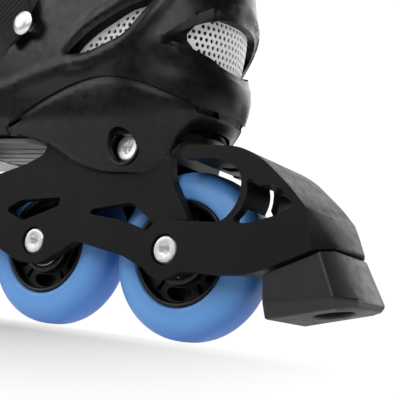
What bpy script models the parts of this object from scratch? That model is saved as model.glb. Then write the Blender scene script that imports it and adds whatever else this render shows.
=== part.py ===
"""Adjustable inline skate for the right foot: four wheels, moulded frame, hard shell boot, heel brake.

The dimensions are millimetres, measured from the middle of the skate's own frame under the rear axle:
+X towards the heel, +Z up, and the inner side of the foot towards -Y. The empty "skate" carries every
piece and puts the middle of the whole skate's footprint on the world's origin.
"""

import math

import bmesh
import bpy
from mathutils import Matrix, Vector

MM = 0.001

# Where the rear axle stands in the part's own frame
REAR_AXLE_X = 94.6
SKATE_MIDDLE_Y = -4.6

# Wheels
WHEEL_R = 38.0
WHEEL_HALF_WIDTH = 12.0
TREAD_FLAT_HALF = 4.8
TYRE_STEPS = 28
PITCH = 80.0
WHEELS = 4
HUB_R = 23.6
BEARING_R = 11.0
BEARING_IN = 5.0
BEARING_OUT = 11.9
AXLE_R = 4.0
GAP = 0.3

# Frame
PLATE_IN = 14.5
PLATE_OUT = 20.3
PLATE_UNDER_BRAKE = 18.0
AXLE_FACE = 19.6
BRAKE_AXLE_FACE = 22.9
HEAD_R = 6.3
HEAD_THICK = 2.7
HEEL_DECK_TOP = 87.4
TOE_DECK_TOP = 82.0

# Boot
HEEL_X = -35.0
WALL = 3.3
BOOT_FLOOR = 91.2
GROOVE = 2.0
CROSS_BOLT = (-28.0, 82.6)
TOE_BOLT_X = -192.0
CUFF_PIVOT = (-58.0, 172.0)
CUFF_RIVET_R = 6.0
INSTEP_RIVET = (-85.0, 138.4)

# Brake
CHEEK_IN = 18.3
RIB_IN = 9.5
CHEEK_OUT = 23.6
BRAKE_LUG_R = 13.0
BRAKE_BOLT_FOOT = (71.7, 0.0, 18.5)
BRAKE_BOLT_LEAN = 14.5

# Straps, tongue and lace
PATH_STEPS = 18
TONGUE_THICK = 6.8
TONGUE_PATH = [(-178, 142.0), (-163, 147.0), (-149, 155.5), (-138, 169)]
TONGUE_PATH += [(-129, 190), (-124, 215), (-121.5, 250), (-126, 282)]
TONGUE_BENDS = [(0.0, 0.5), (0.25, 2.5), (0.5, 8.0), (1.0, 12.0)]
TONGUE_HALVES = [(0.0, 13.0), (0.2, 17.0), (0.4, 25.0), (0.6, 28.5), (1.0, 30.0)]
LACE_R = 1.5
LACE_HALF = 19.0
LACE_ROWS = [0.16, 0.235, 0.31, 0.385, 0.46]


# Plain geometry


def arc(cx, cz, radius, start, end, steps):
    """Points along an arc, angles in degrees."""
    angles = [math.radians(start + (end - start) * i / steps) for i in range(steps + 1)]
    return [(cx + radius * math.cos(a), cz + radius * math.sin(a)) for a in angles]


def rounded(corners, steps=2):
    """The outline through corners (x, z) or (x, z, radius), with an arc at each one that has a radius."""
    points = []
    count = len(corners)
    for i, corner in enumerate(corners):
        here = Vector(corner[:2])
        if len(corner) == 2:
            points.append(tuple(here))
            continue
        before = Vector(corners[i - 1][:2]) - here
        after = Vector(corners[(i + 1) % count][:2]) - here
        half = before.angle(after) / 2
        reach = min(corner[2] / math.tan(half), 0.49 * before.length, 0.49 * after.length)
        if reach < 0.05:
            points.append(tuple(here))
            continue
        radius = reach * math.tan(half)
        middle = here + (before.normalized() + after.normalized()).normalized() * radius / math.sin(half)
        first = here + before.normalized() * reach - middle
        last = here + after.normalized() * reach - middle
        turn = first.angle_signed(last)
        for step in range(steps + 1):
            angle = -turn * step / steps
            cosine, sine = math.cos(angle), math.sin(angle)
            spoke = Vector((first.x * cosine - first.y * sine, first.x * sine + first.y * cosine))
            points.append(tuple(middle + spoke))
    return points


def between(x, knots):
    """The value at x of the smooth curve through the knots (x, value)."""
    if x <= knots[0][0]:
        return knots[0][1]
    if x >= knots[-1][0]:
        return knots[-1][1]
    slopes = [
        (knots[i + 1][1] - knots[i][1]) / (knots[i + 1][0] - knots[i][0]) for i in range(len(knots) - 1)
    ]
    leans = [slopes[0]]
    for a, b in zip(slopes, slopes[1:]):
        leans.append(2 * a * b / (a + b) if a * b > 0 else 0.0)
    leans.append(slopes[-1])
    i = next(k for k in range(len(slopes)) if x <= knots[k + 1][0])
    width = knots[i + 1][0] - knots[i][0]
    t = (x - knots[i][0]) / width
    return (
        (2 * t**3 - 3 * t**2 + 1) * knots[i][1]
        + (t**3 - 2 * t**2 + t) * width * leans[i]
        + (3 * t**2 - 2 * t**3) * knots[i + 1][1]
        + (t**3 - t**2) * width * leans[i + 1]
    )


def spread(start, end, count):
    return [start + (end - start) * i / (count - 1) for i in range(count)]


def mirrored(points):
    """The half outline (x, y) followed by its mirror image in the skate's middle plane."""
    return points + [(x, -y) for x, y in reversed(points)]


# Objects


def start_scene():
    for old in list(bpy.data.objects):
        bpy.data.objects.remove(old)
    skate = empty("skate", (REAR_AXLE_X, SKATE_MIDDLE_Y, 0.0), None)
    return skate


def empty(name, at, parent):
    made = bpy.data.objects.new(name, None)
    bpy.context.scene.collection.objects.link(made)
    made.parent = parent
    made.location = Vector(at) * MM
    return made


def material(name, colour, roughness, metallic=0.0):
    made = bpy.data.materials.new(name)
    made.use_nodes = True
    shader = made.node_tree.nodes["Principled BSDF"]
    shader.inputs["Base Color"].default_value = (*colour, 1.0)
    shader.inputs["Roughness"].default_value = roughness
    shader.inputs["Metallic"].default_value = metallic
    return made


def place(name, shape, finish, parent, at=(0.0, 0.0, 0.0)):
    """Makes the object of a bmesh in millimetres. It has no finish when it is a cutter."""
    bmesh.ops.scale(shape, vec=(MM, MM, MM), verts=shape.verts)
    bmesh.ops.recalc_face_normals(shape, faces=shape.faces)
    mesh = bpy.data.meshes.new(name)
    shape.to_mesh(mesh)
    shape.free()
    made = bpy.data.objects.new(name, mesh)
    bpy.context.scene.collection.objects.link(made)
    made.parent = parent
    made.location = Vector(at) * MM
    if finish:
        mesh.materials.append(finish)
        mesh.shade_smooth()
        mesh.set_sharp_from_angle(angle=math.radians(35))
    else:
        made.hide_render = True
        made.display_type = "WIRE"
    return made


def combine(target, tool, operation):
    change = target.modifiers.new(tool.name, "BOOLEAN")
    change.operation = operation
    change.object = tool
    return target


def cut(target, shape, name):
    return combine(target, place(name, shape, None, target), "DIFFERENCE")


def join(target, shape, name):
    return combine(target, place(name, shape, None, target), "UNION")


def keep(target, shape, name):
    return combine(target, place(name, shape, None, target), "INTERSECT")


def add_rings(shape, rings, closed=False):
    """Skins closed loops of points. The two ends are capped, unless the last loop joins the first."""
    loops = [[shape.verts.new(point) for point in ring] for ring in rings]
    pairs = list(zip(loops, loops[1:]))
    if closed:
        pairs.append((loops[-1], loops[0]))
    for low, high in pairs:
        for i in range(len(low)):
            j = (i + 1) % len(low)
            shape.faces.new((low[i], low[j], high[j], high[i]))
    if not closed:
        shape.faces.new(list(reversed(loops[0])))
        shape.faces.new(loops[-1])
    bmesh.ops.triangulate(shape, faces=[face for face in shape.faces if len(face.verts) == 4])
    return shape


def loft(rings):
    return add_rings(bmesh.new(), rings)


def side_prisms(prisms):
    """Solids from outlines in the side view: each is (outline, lowest y, highest y)."""
    shape = bmesh.new()
    for outline, low, high in prisms:
        add_rings(shape, [[(x, y, z) for x, z in outline] for y in (low, high)])
    return shape


def plan_prism(outline, low, high):
    return loft([[(x, y, z) for x, y in outline] for z in (low, high)])


def discs(places, axis, segments=20):
    """Solid cylinders: each place is (centre across the axis, radius, start, end)."""
    shape = bmesh.new()
    for (u, v), radius, start, end in places:
        circle = arc(u, v, radius, 0, 360 - 360 / segments, segments - 1)
        if axis == "Y":
            rings = [[(a, along, b) for a, b in circle] for along in (start, end)]
        elif axis == "Z":
            rings = [[(a, b, along) for a, b in circle] for along in (start, end)]
        else:
            rings = [[(along, a, b) for a, b in circle] for along in (start, end)]
        add_rings(shape, rings)
    return shape


def turned(profile, segments, phase=0.0):
    """A ring turned about the Y axis from the closed profile (radius, y), turned on by phase steps."""
    rings = []
    for i in range(segments):
        angle = 2 * math.pi * (i + phase) / segments
        rings.append([(r * math.cos(angle), y, r * math.sin(angle)) for r, y in profile])
    return add_rings(bmesh.new(), rings, closed=True)


def ribbon(path, width, thick):
    """A strap along a path of (x, y, z, lean). Its width leans so many degrees up from the X axis."""
    points = [Vector(point[:3]) for point in path]
    rings = []
    for i, here in enumerate(points):
        lean = math.radians(path[i][3])
        side = Vector((math.cos(lean), 0.0, math.sin(lean))) * width / 2
        ahead = points[min(i + 1, len(points) - 1)] - points[max(i - 1, 0)]
        out = side.cross(ahead).normalized() * thick
        rings.append([here - side, here + side, here + side + out, here - side + out])
    return loft(rings)


def smooth_path(knots, count):
    """Points along a smooth curve through the knots, evenly spread over them."""
    spans = len(knots) - 1
    curves = [[(i, knot[axis]) for i, knot in enumerate(knots)] for axis in range(len(knots[0]))]
    return [tuple(between(t, curve) for curve in curves) for t in spread(0, spans, count)]


# Wheels


def tyre_profile():
    """Its flats, not its corners, lie at the tread's radius, so that the wheel stands on a flat."""
    half = [
        (HUB_R + GAP, WHEEL_HALF_WIDTH),
        (31.5, 11.4),
        (36.2, 8.6),
        (WHEEL_R, TREAD_FLAT_HALF),
    ]
    stretch = 1 / math.cos(math.pi / TYRE_STEPS)
    half = [(r * stretch, y) for r, y in half]
    return half + [(r, -y) for r, y in reversed(half)]


def hub_profile():
    half = [
        (BEARING_R + GAP, 11.8),
        (14.2, 11.8),
        (15.0, 5.0),
        (20.4, 5.0),
        (21.2, 11.6),
        (HUB_R, 11.6),
    ]
    inner = [(9.5, -BEARING_IN + GAP), (9.5, BEARING_IN - GAP), (BEARING_R + GAP, BEARING_IN - GAP)]
    return (
        half
        + [(r, -y) for r, y in reversed(half)]
        + [(BEARING_R + GAP, -BEARING_IN + GAP)]
        + inner
    )


def hub_windows():
    """Five openings through the web, between the spokes."""
    shape = bmesh.new()
    for i in range(5):
        middle = 72 * i + 90
        outer = arc(0, 0, 20.0, middle - 24, middle + 24, 1)
        inner = arc(0, 0, 16.1, middle + 20, middle - 20, 1)
        add_rings(shape, [[(x, y, z) for x, z in outer + inner] for y in (-9.0, 9.0)])
    return shape


def head_profile(face, length, shank):
    """Bolt with a low round head. The face of the head is at y = -face, and the tip at -face + length."""
    return [
        (2.3, -face),
        (HEAD_R, -face),
        (HEAD_R, -face + HEAD_THICK),
        (shank, -face + HEAD_THICK),
        (shank, -face + length),
        (0.8, -face + length),
        (0.8, -face + 3.5),
        (2.3, -face + 3.5),
    ]


def sleeve_profile(face, inward):
    """Nut with the same head on the far side, its bore open to the bolt's tip."""
    return [
        (1.6, face),
        (HEAD_R, face),
        (HEAD_R, face - HEAD_THICK),
        (AXLE_R, face - HEAD_THICK),
        (AXLE_R, face - inward),
        (1.6, face - inward),
    ]


def build_wheels(skate, finishes):
    for i in range(WHEELS):
        number = WHEELS - i
        face = BRAKE_AXLE_FACE if i == 0 else AXLE_FACE
        axis = empty(f"wheel_{number}_axis", (-PITCH * i, 0.0, WHEEL_R), skate)
        place(f"wheel_{number}_tyre", turned(tyre_profile(), TYRE_STEPS, 0.5), finishes["tyre"], axis)
        hub = place(f"wheel_{number}_hub", turned(hub_profile(), 15), finishes["hub"], axis)
        cut(hub, hub_windows(), f"wheel_{number}_windows")
        for side, name in ((-1, "inner"), (1, "outer")):
            ring = [(AXLE_R + GAP, BEARING_IN), (BEARING_R, BEARING_IN)]
            ring += [(BEARING_R, BEARING_OUT), (AXLE_R + GAP, BEARING_OUT)]
            ring = [(r, side * y) for r, y in ring]
            place(f"wheel_{number}_bearing_{name}", turned(ring, 12), finishes["steel"], axis)
        tube = [(AXLE_R + GAP, -BEARING_IN + GAP), (AXLE_R + 1.6, -BEARING_IN + GAP)]
        tube += [(r, -y) for r, y in reversed(tube)]
        holder = empty(f"axle_{number}_place", (-PITCH * i, 0.0, WHEEL_R), skate)
        place(f"spacer_{number}", turned(tube, 8), finishes["steel"], holder)
        bolt = turned(head_profile(face, 2 * face - 12.0, AXLE_R), 12)
        place(f"axle_bolt_{number}", bolt, finishes["bright"], holder)
        sleeve = turned(sleeve_profile(face, 11.0), 12)
        place(f"axle_nut_{number}", sleeve, finishes["bright"], holder)


# Frame


def frame_outline():
    """Side view of the chassis, anticlockwise from under the first wheel's axle."""
    outline = [(-3 * PITCH - 10.5, 31.0, 6.0), (-3 * PITCH - 3.0, 27.0, 8.0)]
    for i in range(WHEELS - 1):
        left = -PITCH * (WHEELS - 1 - i)
        outline += [
            (left + 5.5, 27.4, 6.0),
            (left + 18.0, 34.0, 8.0),
            (left + 26.0, 39.3, 4.0),
            (left + 55.0, 34.2, 9.0),
            (left + 73.0, 27.4, 6.0),
        ]
    outline += [(7.0, 27.0, 5.0), (12.5, 34.0, 4.0), (12.5, 45.0, 4.0), (8.4, 51.7)]
    outline += [(2.2, 60.7, 20.0), (-4.6, 71.0, 20.0), (-6.4, 82.5), (-7.5, HEEL_DECK_TOP)]
    outline += [(-79.0, HEEL_DECK_TOP), (-81.5, 80.0, 4.0), (-92.0, 75.2, 20.0), (-118.0, 67.5, 40.0)]
    outline += [(-148.0, 74.0, 20.0), (-157.0, TOE_DECK_TOP, 3.0), (-224.0, TOE_DECK_TOP, 3.0)]
    outline += [(-231.0, 70.0, 12.0), (-247.0, 52.0, 12.0), (-251.5, 40.0, 6.0)]
    return rounded(outline, 1)


def frame_windows():
    """Openings through both side plates: above wheel 3 and behind it, and the same mirrored in front."""
    above = [(-102.5, 52.0, 1.8), (-91.9, 57.4, 6.0), (-65.3, 59.5, 1.5)]
    above += [(-67.5, 55.0, 2.0), (-88.5, 47.4, 4.0)]
    behind = [(-47.5, 52.2, 1.2), (-45.5, 54.6, 1.2), (-23.5, 58.3, 4.0)]
    behind += [(-8.5, 48.6, 2.0), (-13.0, 45.8, 2.0), (-29.3, 50.2, 8.0)]
    shapes = []
    for window in (above, behind):
        shapes.append(rounded(window, 1))
        shapes.append(rounded([(-3 * PITCH - corner[0], *corner[1:]) for corner in reversed(window)], 1))
    return shapes


def channel_outline():
    """What is hollow between the side plates: all that lies under the two decks, and the open arch."""
    heel_roof = HEEL_DECK_TOP - 5.4
    toe_roof = TOE_DECK_TOP - 4.0
    outline = [(-270.0, 10.0), (30.0, 10.0), (30.0, heel_roof), (-18.0, heel_roof), (-20.0, 77.0)]
    outline += [(-36.0, 77.0), (-38.0, heel_roof), (-74.0, heel_roof), (-74.0, 100.0), (-152.0, 100.0)]
    outline += [(-162.0, toe_roof), (-270.0, toe_roof)]
    return outline


def build_frame(skate, finishes):
    block = side_prisms([(frame_outline(), -PLATE_OUT, PLATE_OUT)])
    frame = place("frame", block, finishes["frame"], skate)
    cut(frame, side_prisms([(channel_outline(), -PLATE_IN, PLATE_IN)]), "frame_channel")
    cut(frame, side_prisms([(outline, -30.0, 30.0) for outline in frame_windows()]), "frame_windows")
    ribs = []
    for i in range(WHEELS - 1):
        middle = -PITCH * (i + 0.5)
        ribs.append(([(middle - 3, 60), (middle + 3, 60), (middle + 5, 66), (middle - 5, 66)], -17.0, 17.0))
    join(frame, side_prisms(ribs), "frame_ribs")
    axles = [(-PITCH * i, WHEEL_R) for i in range(WHEELS)]
    boss = BEARING_OUT + 0.4
    bosses = [(at, 7.0, side * boss, side * 16.5) for at in axles for side in (-1, 1)]
    join(frame, discs(bosses, "Y", 10), "frame_bosses")
    holes = [(at, AXLE_R + GAP, -30.0, 30.0) for at in axles] + [(CROSS_BOLT, 3.3, -30.0, 30.0)]
    cut(frame, discs(holes, "Y", 10), "frame_axle_holes")
    seat = AXLE_FACE - HEAD_THICK - 0.2
    wells = [(at, HEAD_R + 0.6, side * seat, side * 30.0) for at in axles[1:] for side in (-1, 1)]
    cut(frame, discs(wells, "Y", 12), "frame_head_wells")
    cut(frame, discs([((TOE_BOLT_X, 0.0), 3.3, 60.0, 90.0)], "Z", 8), "frame_toe_hole")
    lug = arc(0, WHEEL_R, BRAKE_LUG_R + 0.4, 90, 270, 10)
    lug += [(40.0, 20.0), (40.0, WHEEL_R + BRAKE_LUG_R + 0.4)]
    recess = [(lug, side * PLATE_UNDER_BRAKE, side * 30.0) for side in (-1, 1)]
    cut(frame, side_prisms(recess), "frame_brake_recess")


# Boot

REAR_KNOTS = [
    (66, 4.0), (71, 4.5), (83, 6.5), (90, 8.0), (95, 9.6), (98.5, 11.6), (104.6, 13.4),
    (112, 14.4), (118, 13.0), (126, 13.4), (140, 14.4), (157, 10.6), (175, 7.0), (192, 4.2),
]  # fmt: skip
HALF_KNOTS = [
    (66, 22.6), (71, 24.5), (78, 27.0), (83, 29.0), (90, 32.5), (95, 34.5), (104, 36.5),
    (112, 37.5), (120, 38.5), (130, 39.3), (140, 39.5), (157, 38.5), (175, 36.2), (192, 34.8),
]  # fmt: skip
PLAN_KNOTS = [(-262, 0.92), (-225, 1.1), (-185, 1.17), (-140, 1.06), (-95, 0.985), (-60, 1.0), (HEEL_X, 1)]


def boot_ring(z, front, inset=0.0, drop=None, steps=10):
    """Level outline of the boot at height z, round at the heel and square towards the toe end, front."""
    half = between(z, HALF_KNOTS) - inset
    depth = between(z, REAR_KNOTS) - HEEL_X - inset
    points = []
    for i in range(steps // 2 + 1):
        angle = math.pi / 2 * i / (steps // 2)
        points.append((HEEL_X + depth * math.cos(angle), half * math.sin(angle)))
    for x in (-65.0, -105.0, -150.0, -190.0):
        if x > front + inset + 6:
            points.append((x, between(x, PLAN_KNOTS) * (half + inset) - inset))
    wide = points[-1][1]
    points += [(front + inset + 4.0, 0.93 * wide), (front + inset, 0.7 * wide)]
    ring = mirrored(points[1:])
    ring.append(points[0])
    return [(x, y, z if drop is None else drop(x, z)) for x, y in ring]


def groove_line(x):
    knots = [(-99, 88.6), (-87, 94.7), (-67.6, 102.9), (-49.5, 108.7), (-37.8, 110.4), (-26.6, 109.8)]
    knots += [(-4.3, 104.2), (3.6, 101.6), (10.7, 99.6), (22, 98.2)]
    return between(x, knots)


def skirt_line(x):
    knots = [(-99, 88.4), (-88, 86.0), (-71.6, 81.8), (-64.5, 78.3), (-52.7, 73.4), (-35, 71.0)]
    knots += [(-15, 71.2), (-8.4, 74.8), (-5.0, 80.5), (-1.5, 87.0), (4.0, 92.6), (22, 94.4)]
    return between(x, knots)


def base_outline(grow):
    """Side view of the heel base, between its skirt's edge and the groove, wider all round by grow."""
    xs = [-99 - grow, -94, -87, -77, -67, -58, -49, -40, -30, -20, -10, 0, 8, 22 + grow]
    top = [(x, groove_line(x) + grow) for x in xs]
    low = [-99, -88, -78, -71, -64, -57, -50, -40, -30, -20, -15, -10, -7, -4, -1, 3, 8, 22 + grow]
    bottom = [(x, skirt_line(x) - grow) for x in low]
    return bottom + list(reversed(top))


def heel_floor(x, z):
    """The inside of the heel rises a little at the very back."""
    return z + between(x, [(-14, 0.0), (0, 3.0), (14, 7.6)])


def build_heel_base(skate, finishes):
    levels = [66, 71, 78, 84, 90, 95, 100, 106, 114]
    rings = [boot_ring(z, -130.0, 0.6) for z in levels]
    base = place("heel_base", loft(rings), finishes["shell"], skate)
    inside = [boot_ring(BOOT_FLOOR, -140.0, WALL + 3.0, heel_floor)]
    inside += [boot_ring(z, -140.0, WALL, heel_floor if z < 96 else None) for z in (93, 100, 108, 120)]
    keep(base, side_prisms([(base_outline(0.0), -60.0, 60.0)]), "heel_base_edge")
    cut(base, loft(inside), "heel_base_inside")
    clear = PLATE_OUT + 0.4
    slot = [(-151, 61), (31, 61), (31, 87.7), (-151, 87.7)]
    cut(base, side_prisms([(slot, -clear, clear)]), "heel_base_slot")
    rack_way = [(-150, 62), (-79, 62), (-79, 87.7), (-150, 87.7)]
    cut(base, side_prisms([(rack_way, -27.4, 27.4)]), "heel_base_rack_way")
    wells = [(CROSS_BOLT, 7.7, side * (PLATE_OUT - 3.0), side * 50.0) for side in (-1, 1)]
    cut(base, discs(wells, "Y", 12), "heel_base_wells")


def opening_outline():
    """Side view of what is cut away from the boot shell: the throat, and all above its edge."""
    edge = [(-210, 101), (-150, 102, 40), (-119, 107, 24), (-101.5, 121.5, 30), (-84, 149.5, 40), (-74, 192)]
    return rounded(edge + [(-60, 230), (-300, 230), (-300, 101)])


def leaf_outline():
    """Side vent, a leaf that rises towards the heel."""
    low = [(-60.5, 123.0), (-47.0, 123.8, 30), (-27.0, 130.8, 16)]
    high = [(-14.0, 149.6), (-27.0, 143.8, 60), (-47.0, 134.2, 60)]
    return rounded(low + high)


def rear_vent_outline():
    """Rear vent seen from behind, as (y, z): wide in the middle, with a pointed tip at each side."""
    half = [(0.0, 144.6), (11.0, 144.3), (20.0, 141.2), (28.4, 131.6), (20.5, 126.6), (12.5, 122.6)]
    half.append((0.0, 121.2))
    return half + [(-y, z) for y, z in reversed(half[1:-1])]


def build_boot_shell(skate, finishes):
    levels = [93, 100, 108, 118, 126.5, 140, 158, 175, 192]
    rings = [boot_ring(88.0, -210.0, 3.0), boot_ring(89.4, -210.0, 0.8)]
    rings += [boot_ring(z, -210.0) for z in levels]
    shell = place("boot_shell", loft(rings), finishes["shell"], skate)
    inside = [boot_ring(88.0 + WALL, -240.0, WALL + 2.0), boot_ring(93.5, -240.0, WALL)]
    inside += [boot_ring(z, -240.0, WALL) for z in [102, 118, 126.5, 140, 158, 178, 200]]
    cut(shell, loft(inside), "boot_shell_inside")
    cut(shell, discs([((TOE_BOLT_X, 0.0), 3.4, 60.0, 100.0)], "Z", 8), "boot_shell_toe_hole")
    vent = [[(x, y, z) for y, z in rear_vent_outline()] for x in (-10.0, 40.0)]
    cut(shell, loft(vent), "boot_shell_rear_vent")
    groove = [point for point in base_outline(GROOVE) if point[1] >= groove_line(point[0])]
    below = [(-98.6, 60), (40, 60), (40, groove[0][1])]
    cut(shell, side_prisms([(below + groove, -70.0, 70.0)]), "boot_shell_base")
    cut(shell, side_prisms([(opening_outline(), -70.0, 70.0)]), "boot_shell_opening")
    holes = [(CUFF_PIVOT, 3.4, -60.0, 60.0), (INSTEP_RIVET, 2.8, -60.0, 60.0)]
    cut(shell, discs(holes, "Y", 8), "boot_shell_rivet_holes")
    for side, name in ((-1, "inner"), (1, "outer")):
        cut(shell, side_prisms([(leaf_outline(), side * 20.0, side * 60.0)]), f"boot_shell_leaf_{name}")


def heel_point(degrees, z, inset):
    """A point of the boot's rear surface, inset from it, at an angle from straight back."""
    angle = math.radians(degrees)
    depth = between(z, REAR_KNOTS) - HEEL_X - inset
    half = between(z, HALF_KNOTS) - inset
    return (HEEL_X + depth * math.cos(angle), half * math.sin(angle), z)


def build_meshes(skate, finishes):
    """Perforated inserts behind the vents, made as plain thin panels that follow the shell's inside."""
    outer, inner = WALL + 1.1, WALL + 2.3
    rings = []
    for degrees in spread(-52, 52, 13):
        tall = between(abs(degrees), [(0, 13.5), (30, 12.5), (52, 6.0)])
        middle = between(abs(degrees), [(0, 132.8), (52, 131.5)])
        low, high = middle - tall, middle + tall
        column = [(low, outer), (middle, outer), (high, outer), (high, inner), (middle, inner), (low, inner)]
        rings.append([heel_point(degrees, z, inset) for z, inset in column])
    place("rear_mesh", loft(rings), finishes["mesh"], skate)
    for side, name in ((-1, "inner_mesh"), (1, "outer_mesh")):
        rings = []
        for x in spread(-64.0, -18.5, 8):
            low = between(x, [(-64, 119.5), (-45, 120.5), (-18.5, 130)])
            high = between(x, [(-64, 127), (-45, 138), (-18.5, 152)])
            ring = []
            for z, inset in ((low, outer), (high, outer), (high, inner), (low, inner)):
                half = between(z, HALF_KNOTS) - inset
                depth = between(z, REAR_KNOTS) - HEEL_X - inset
                narrow = math.sqrt(1 - (max(x - HEEL_X, 0.0) / depth) ** 2)
                ring.append((x, side * half * narrow, z))
            rings.append(ring)
        place(name, loft(rings), finishes["mesh"], skate)


# Toe


TOE_HALVES = [(-264, 10.0), (-261, 22.0), (-252, 34.0), (-235, 42.0), (-205, 46.5), (-185, 47.0)]
TOE_TOPS = [(-264, 103.0), (-261, 110.0), (-252, 121.0), (-235, 132.0), (-205, 141.5), (-148, 152.0)]
TOE_SOLES = [(-264, 95.0), (-258, 89.5), (-240, 84.6), (-150, 84.6)]
TOE_WALL = 3.0
TOE_SOLE_THICK = 2.9


def toe_section(x, inset):
    """Closed section of the toe shell across the foot at x, with a flat sole and a rounded top."""
    half = between(x, TOE_HALVES) - inset
    top = between(x, TOE_TOPS) - inset
    bottom = between(x, TOE_SOLES) + (TOE_SOLE_THICK if inset else 0.0)
    waist = bottom + 0.38 * (top - bottom)
    right = [(half * 0.86, bottom), (half * 0.97, bottom + 4.0), (half, waist)]
    right += [(half * 0.93, 0.45 * waist + 0.55 * top), (half * 0.74, 0.18 * waist + 0.82 * top)]
    right.append((half * 0.4, top - 1.0))
    return [(x, y, z) for y, z in right + [(-y, z) for y, z in reversed(right)]]


def build_toe(skate, finishes):
    toe = empty("toe_slide", (0.0, 0.0, 0.0), skate)
    xs = [-264, -261, -256, -247, -235, -220, -203, -185, -167, -148]
    shell = place("toe_shell", loft([toe_section(x, 0.0) for x in xs]), finishes["shell"], toe)
    xs = [-259, -254, -246, -235, -220, -203, -185, -167, -140]
    cut(shell, loft([toe_section(x, TOE_WALL) for x in xs]), "toe_shell_inside")
    throat = rounded([(-120, -21), (-120, 21), (-190, 17, 14), (-190, -17, 14)])
    cut(shell, plan_prism(throat, 110.0, 170.0), "toe_shell_throat")
    slope = [(-175, 170), (-146, 106), (-120, 106), (-120, 170)]
    cut(shell, side_prisms([(slope, -60.0, 60.0)]), "toe_shell_rear_edge")
    slot = rounded([(-197, -4, 3.8), (-163, -4, 3.8), (-163, 4, 3.8), (-197, 4, 3.8)])
    cut(shell, plan_prism(slot, 70.0, 95.0), "toe_shell_slot")
    rack = rounded([(-147.5, -25), (-147.5, 25), (-90, 24, 6), (-83, 18, 6), (-83, -18, 6), (-90, -24, 6)])
    place("size_rack", plan_prism(rack, 84.6, 87.3), finishes["rack"], toe)


def build_size_button(skate, finishes):
    """Push-button on the outer side of the arch. It travels inwards."""
    outline = [(-118, 28.5), (-104, 28.5), (-104, 39.0), (-102, 39.0), (-102, 44.0, 2), (-120, 44.0, 2)]
    outline += [(-120, 39.0), (-118, 39.0)]
    place("size_button", plan_prism(rounded(outline), 84.8, 87.6), finishes["rack"], skate)


# Cuff and closures

CUFF_WALL = 3.0
COLLAR_INSIDE = 13.5
COLLAR_OUTSIDE = 4.2
CUFF_ARM = 71.0

def cuff_ring(z, inset):
    """Level outline of the cuff, open towards the front where the throat is cut."""
    half = between(z, [(160, 43.6), (198, 43.8), (235, 45.0), (272, 47.5)]) - inset
    arm = CUFF_ARM - inset
    rise = z - CUFF_PIVOT[1]
    swept = CUFF_PIVOT[0] + math.sqrt(arm**2 - min(abs(rise), 26.0) ** 2)
    rear = swept - between(z, [(198, 0.0), (215, 5.0), (240, 11.0), (272, 11.5)])
    front = between(z, [(160, -112.0), (215, -122.0), (272, -132.0)]) + inset
    middle = between(z, [(160, -44.0), (215, -52.0), (272, -60.0)])
    points = [(rear, 0.0)]
    for i in range(1, 7):
        angle = math.pi / 2 * i / 6
        points.append((middle + (rear - middle) * math.cos(angle), half * math.sin(angle) ** 0.85))
    for i in range(1, 5):
        angle = math.pi / 2 * i / 5
        points.append((middle + (front - middle) * math.sin(angle), half * math.cos(angle) ** 0.4))
    ring = mirrored(points[1:])
    ring.append(points[0])
    return [(x, y, z) for x, y in ring]


def cuff_cut_outline():
    """Side view of what is cut away from the cuff: everything above its top edge and before its flaps."""
    edge = [(-58, 155), (-72, 164, 8), (-82, 186, 20), (-104, 212, 10), (-108, 244, 10), (-92, 250, 12)]
    edge += [(-60, 262, 20), (-30, 268, 20), (40, 270), (40, 320), (-300, 320), (-300, 155)]
    return rounded(edge)


def cuff_foot_outline():
    """Side view of what is cut away below the cuff's lower edge, which dips towards its rivets."""
    edge = [(60, 158), (60, 170), (-4, 169), (-30, 163, 20), (-46, 160.5, 12), (-70, 160.5), (-300, 150)]
    return rounded(edge + [(60, 150)])


def build_cuff(skate, finishes):
    pivot = empty("cuff_pivot", (CUFF_PIVOT[0], 0.0, CUFF_PIVOT[1]), skate)
    back = (-CUFF_PIVOT[0], 0.0, -CUFF_PIVOT[1])
    holder = empty("cuff_body", back, pivot)
    levels = [156, 166, 180, 196, 212, 232, 275]
    cuff = place("cuff", loft([cuff_ring(z, 0.0) for z in levels]), finishes["shell"], holder)
    cut(cuff, loft([cuff_ring(z, CUFF_WALL) for z in [150] + levels[1:-1] + [285]]), "cuff_inside")
    cut(cuff, side_prisms([(cuff_cut_outline(), -70.0, 70.0)]), "cuff_front")
    cut(cuff, side_prisms([(cuff_foot_outline(), -70.0, 70.0)]), "cuff_foot")
    cut(cuff, discs([(CUFF_PIVOT, 3.4, -60.0, 60.0)], "Y", 8), "cuff_rivet_holes")
    for side, name in ((-1, "inner"), (1, "outer")):
        profile = [(0.0, 46.8), (3.5, 46.4), (CUFF_RIVET_R, 44.2), (3.0, 44.2), (3.0, 34.0), (0.0, 34.0)]
        place_pin(f"cuff_rivet_{name}", profile, side, finishes["bright"], skate, CUFF_PIVOT)
    collar(holder, finishes)
    return holder


def place_pin(name, profile, side, finish, parent, at):
    """A solid turned about the Y axis. The profile (radius, y) begins and ends on that axis."""
    rings = []
    segments = 12
    inner = profile[1:-1]
    for r, y in inner:
        circle = arc(0, 0, r, 0, 360 - 360 / segments, segments - 1)
        rings.append([(a, side * y, b) for a, b in circle])
    place(name, loft(rings), finish, parent, (at[0], 0.0, at[1]))


def collar(holder, finishes):
    """Padded collar inside the cuff, open at the front for the tongue."""
    levels = [198, 225, 250, 280]
    pad = place("collar", loft([cuff_ring(z, COLLAR_OUTSIDE) for z in levels]), finishes["fabric"], holder)
    cut(pad, loft([cuff_ring(z, COLLAR_INSIDE) for z in [190] + levels[1:-1] + [290]]), "collar_inside")
    front = [(-82, 170), (-93, 198), (-99, 218), (-93, 282), (-93, 300), (-200, 300), (-200, 170)]
    cut(pad, side_prisms([(front, -60.0, 60.0)]), "collar_front")


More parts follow.
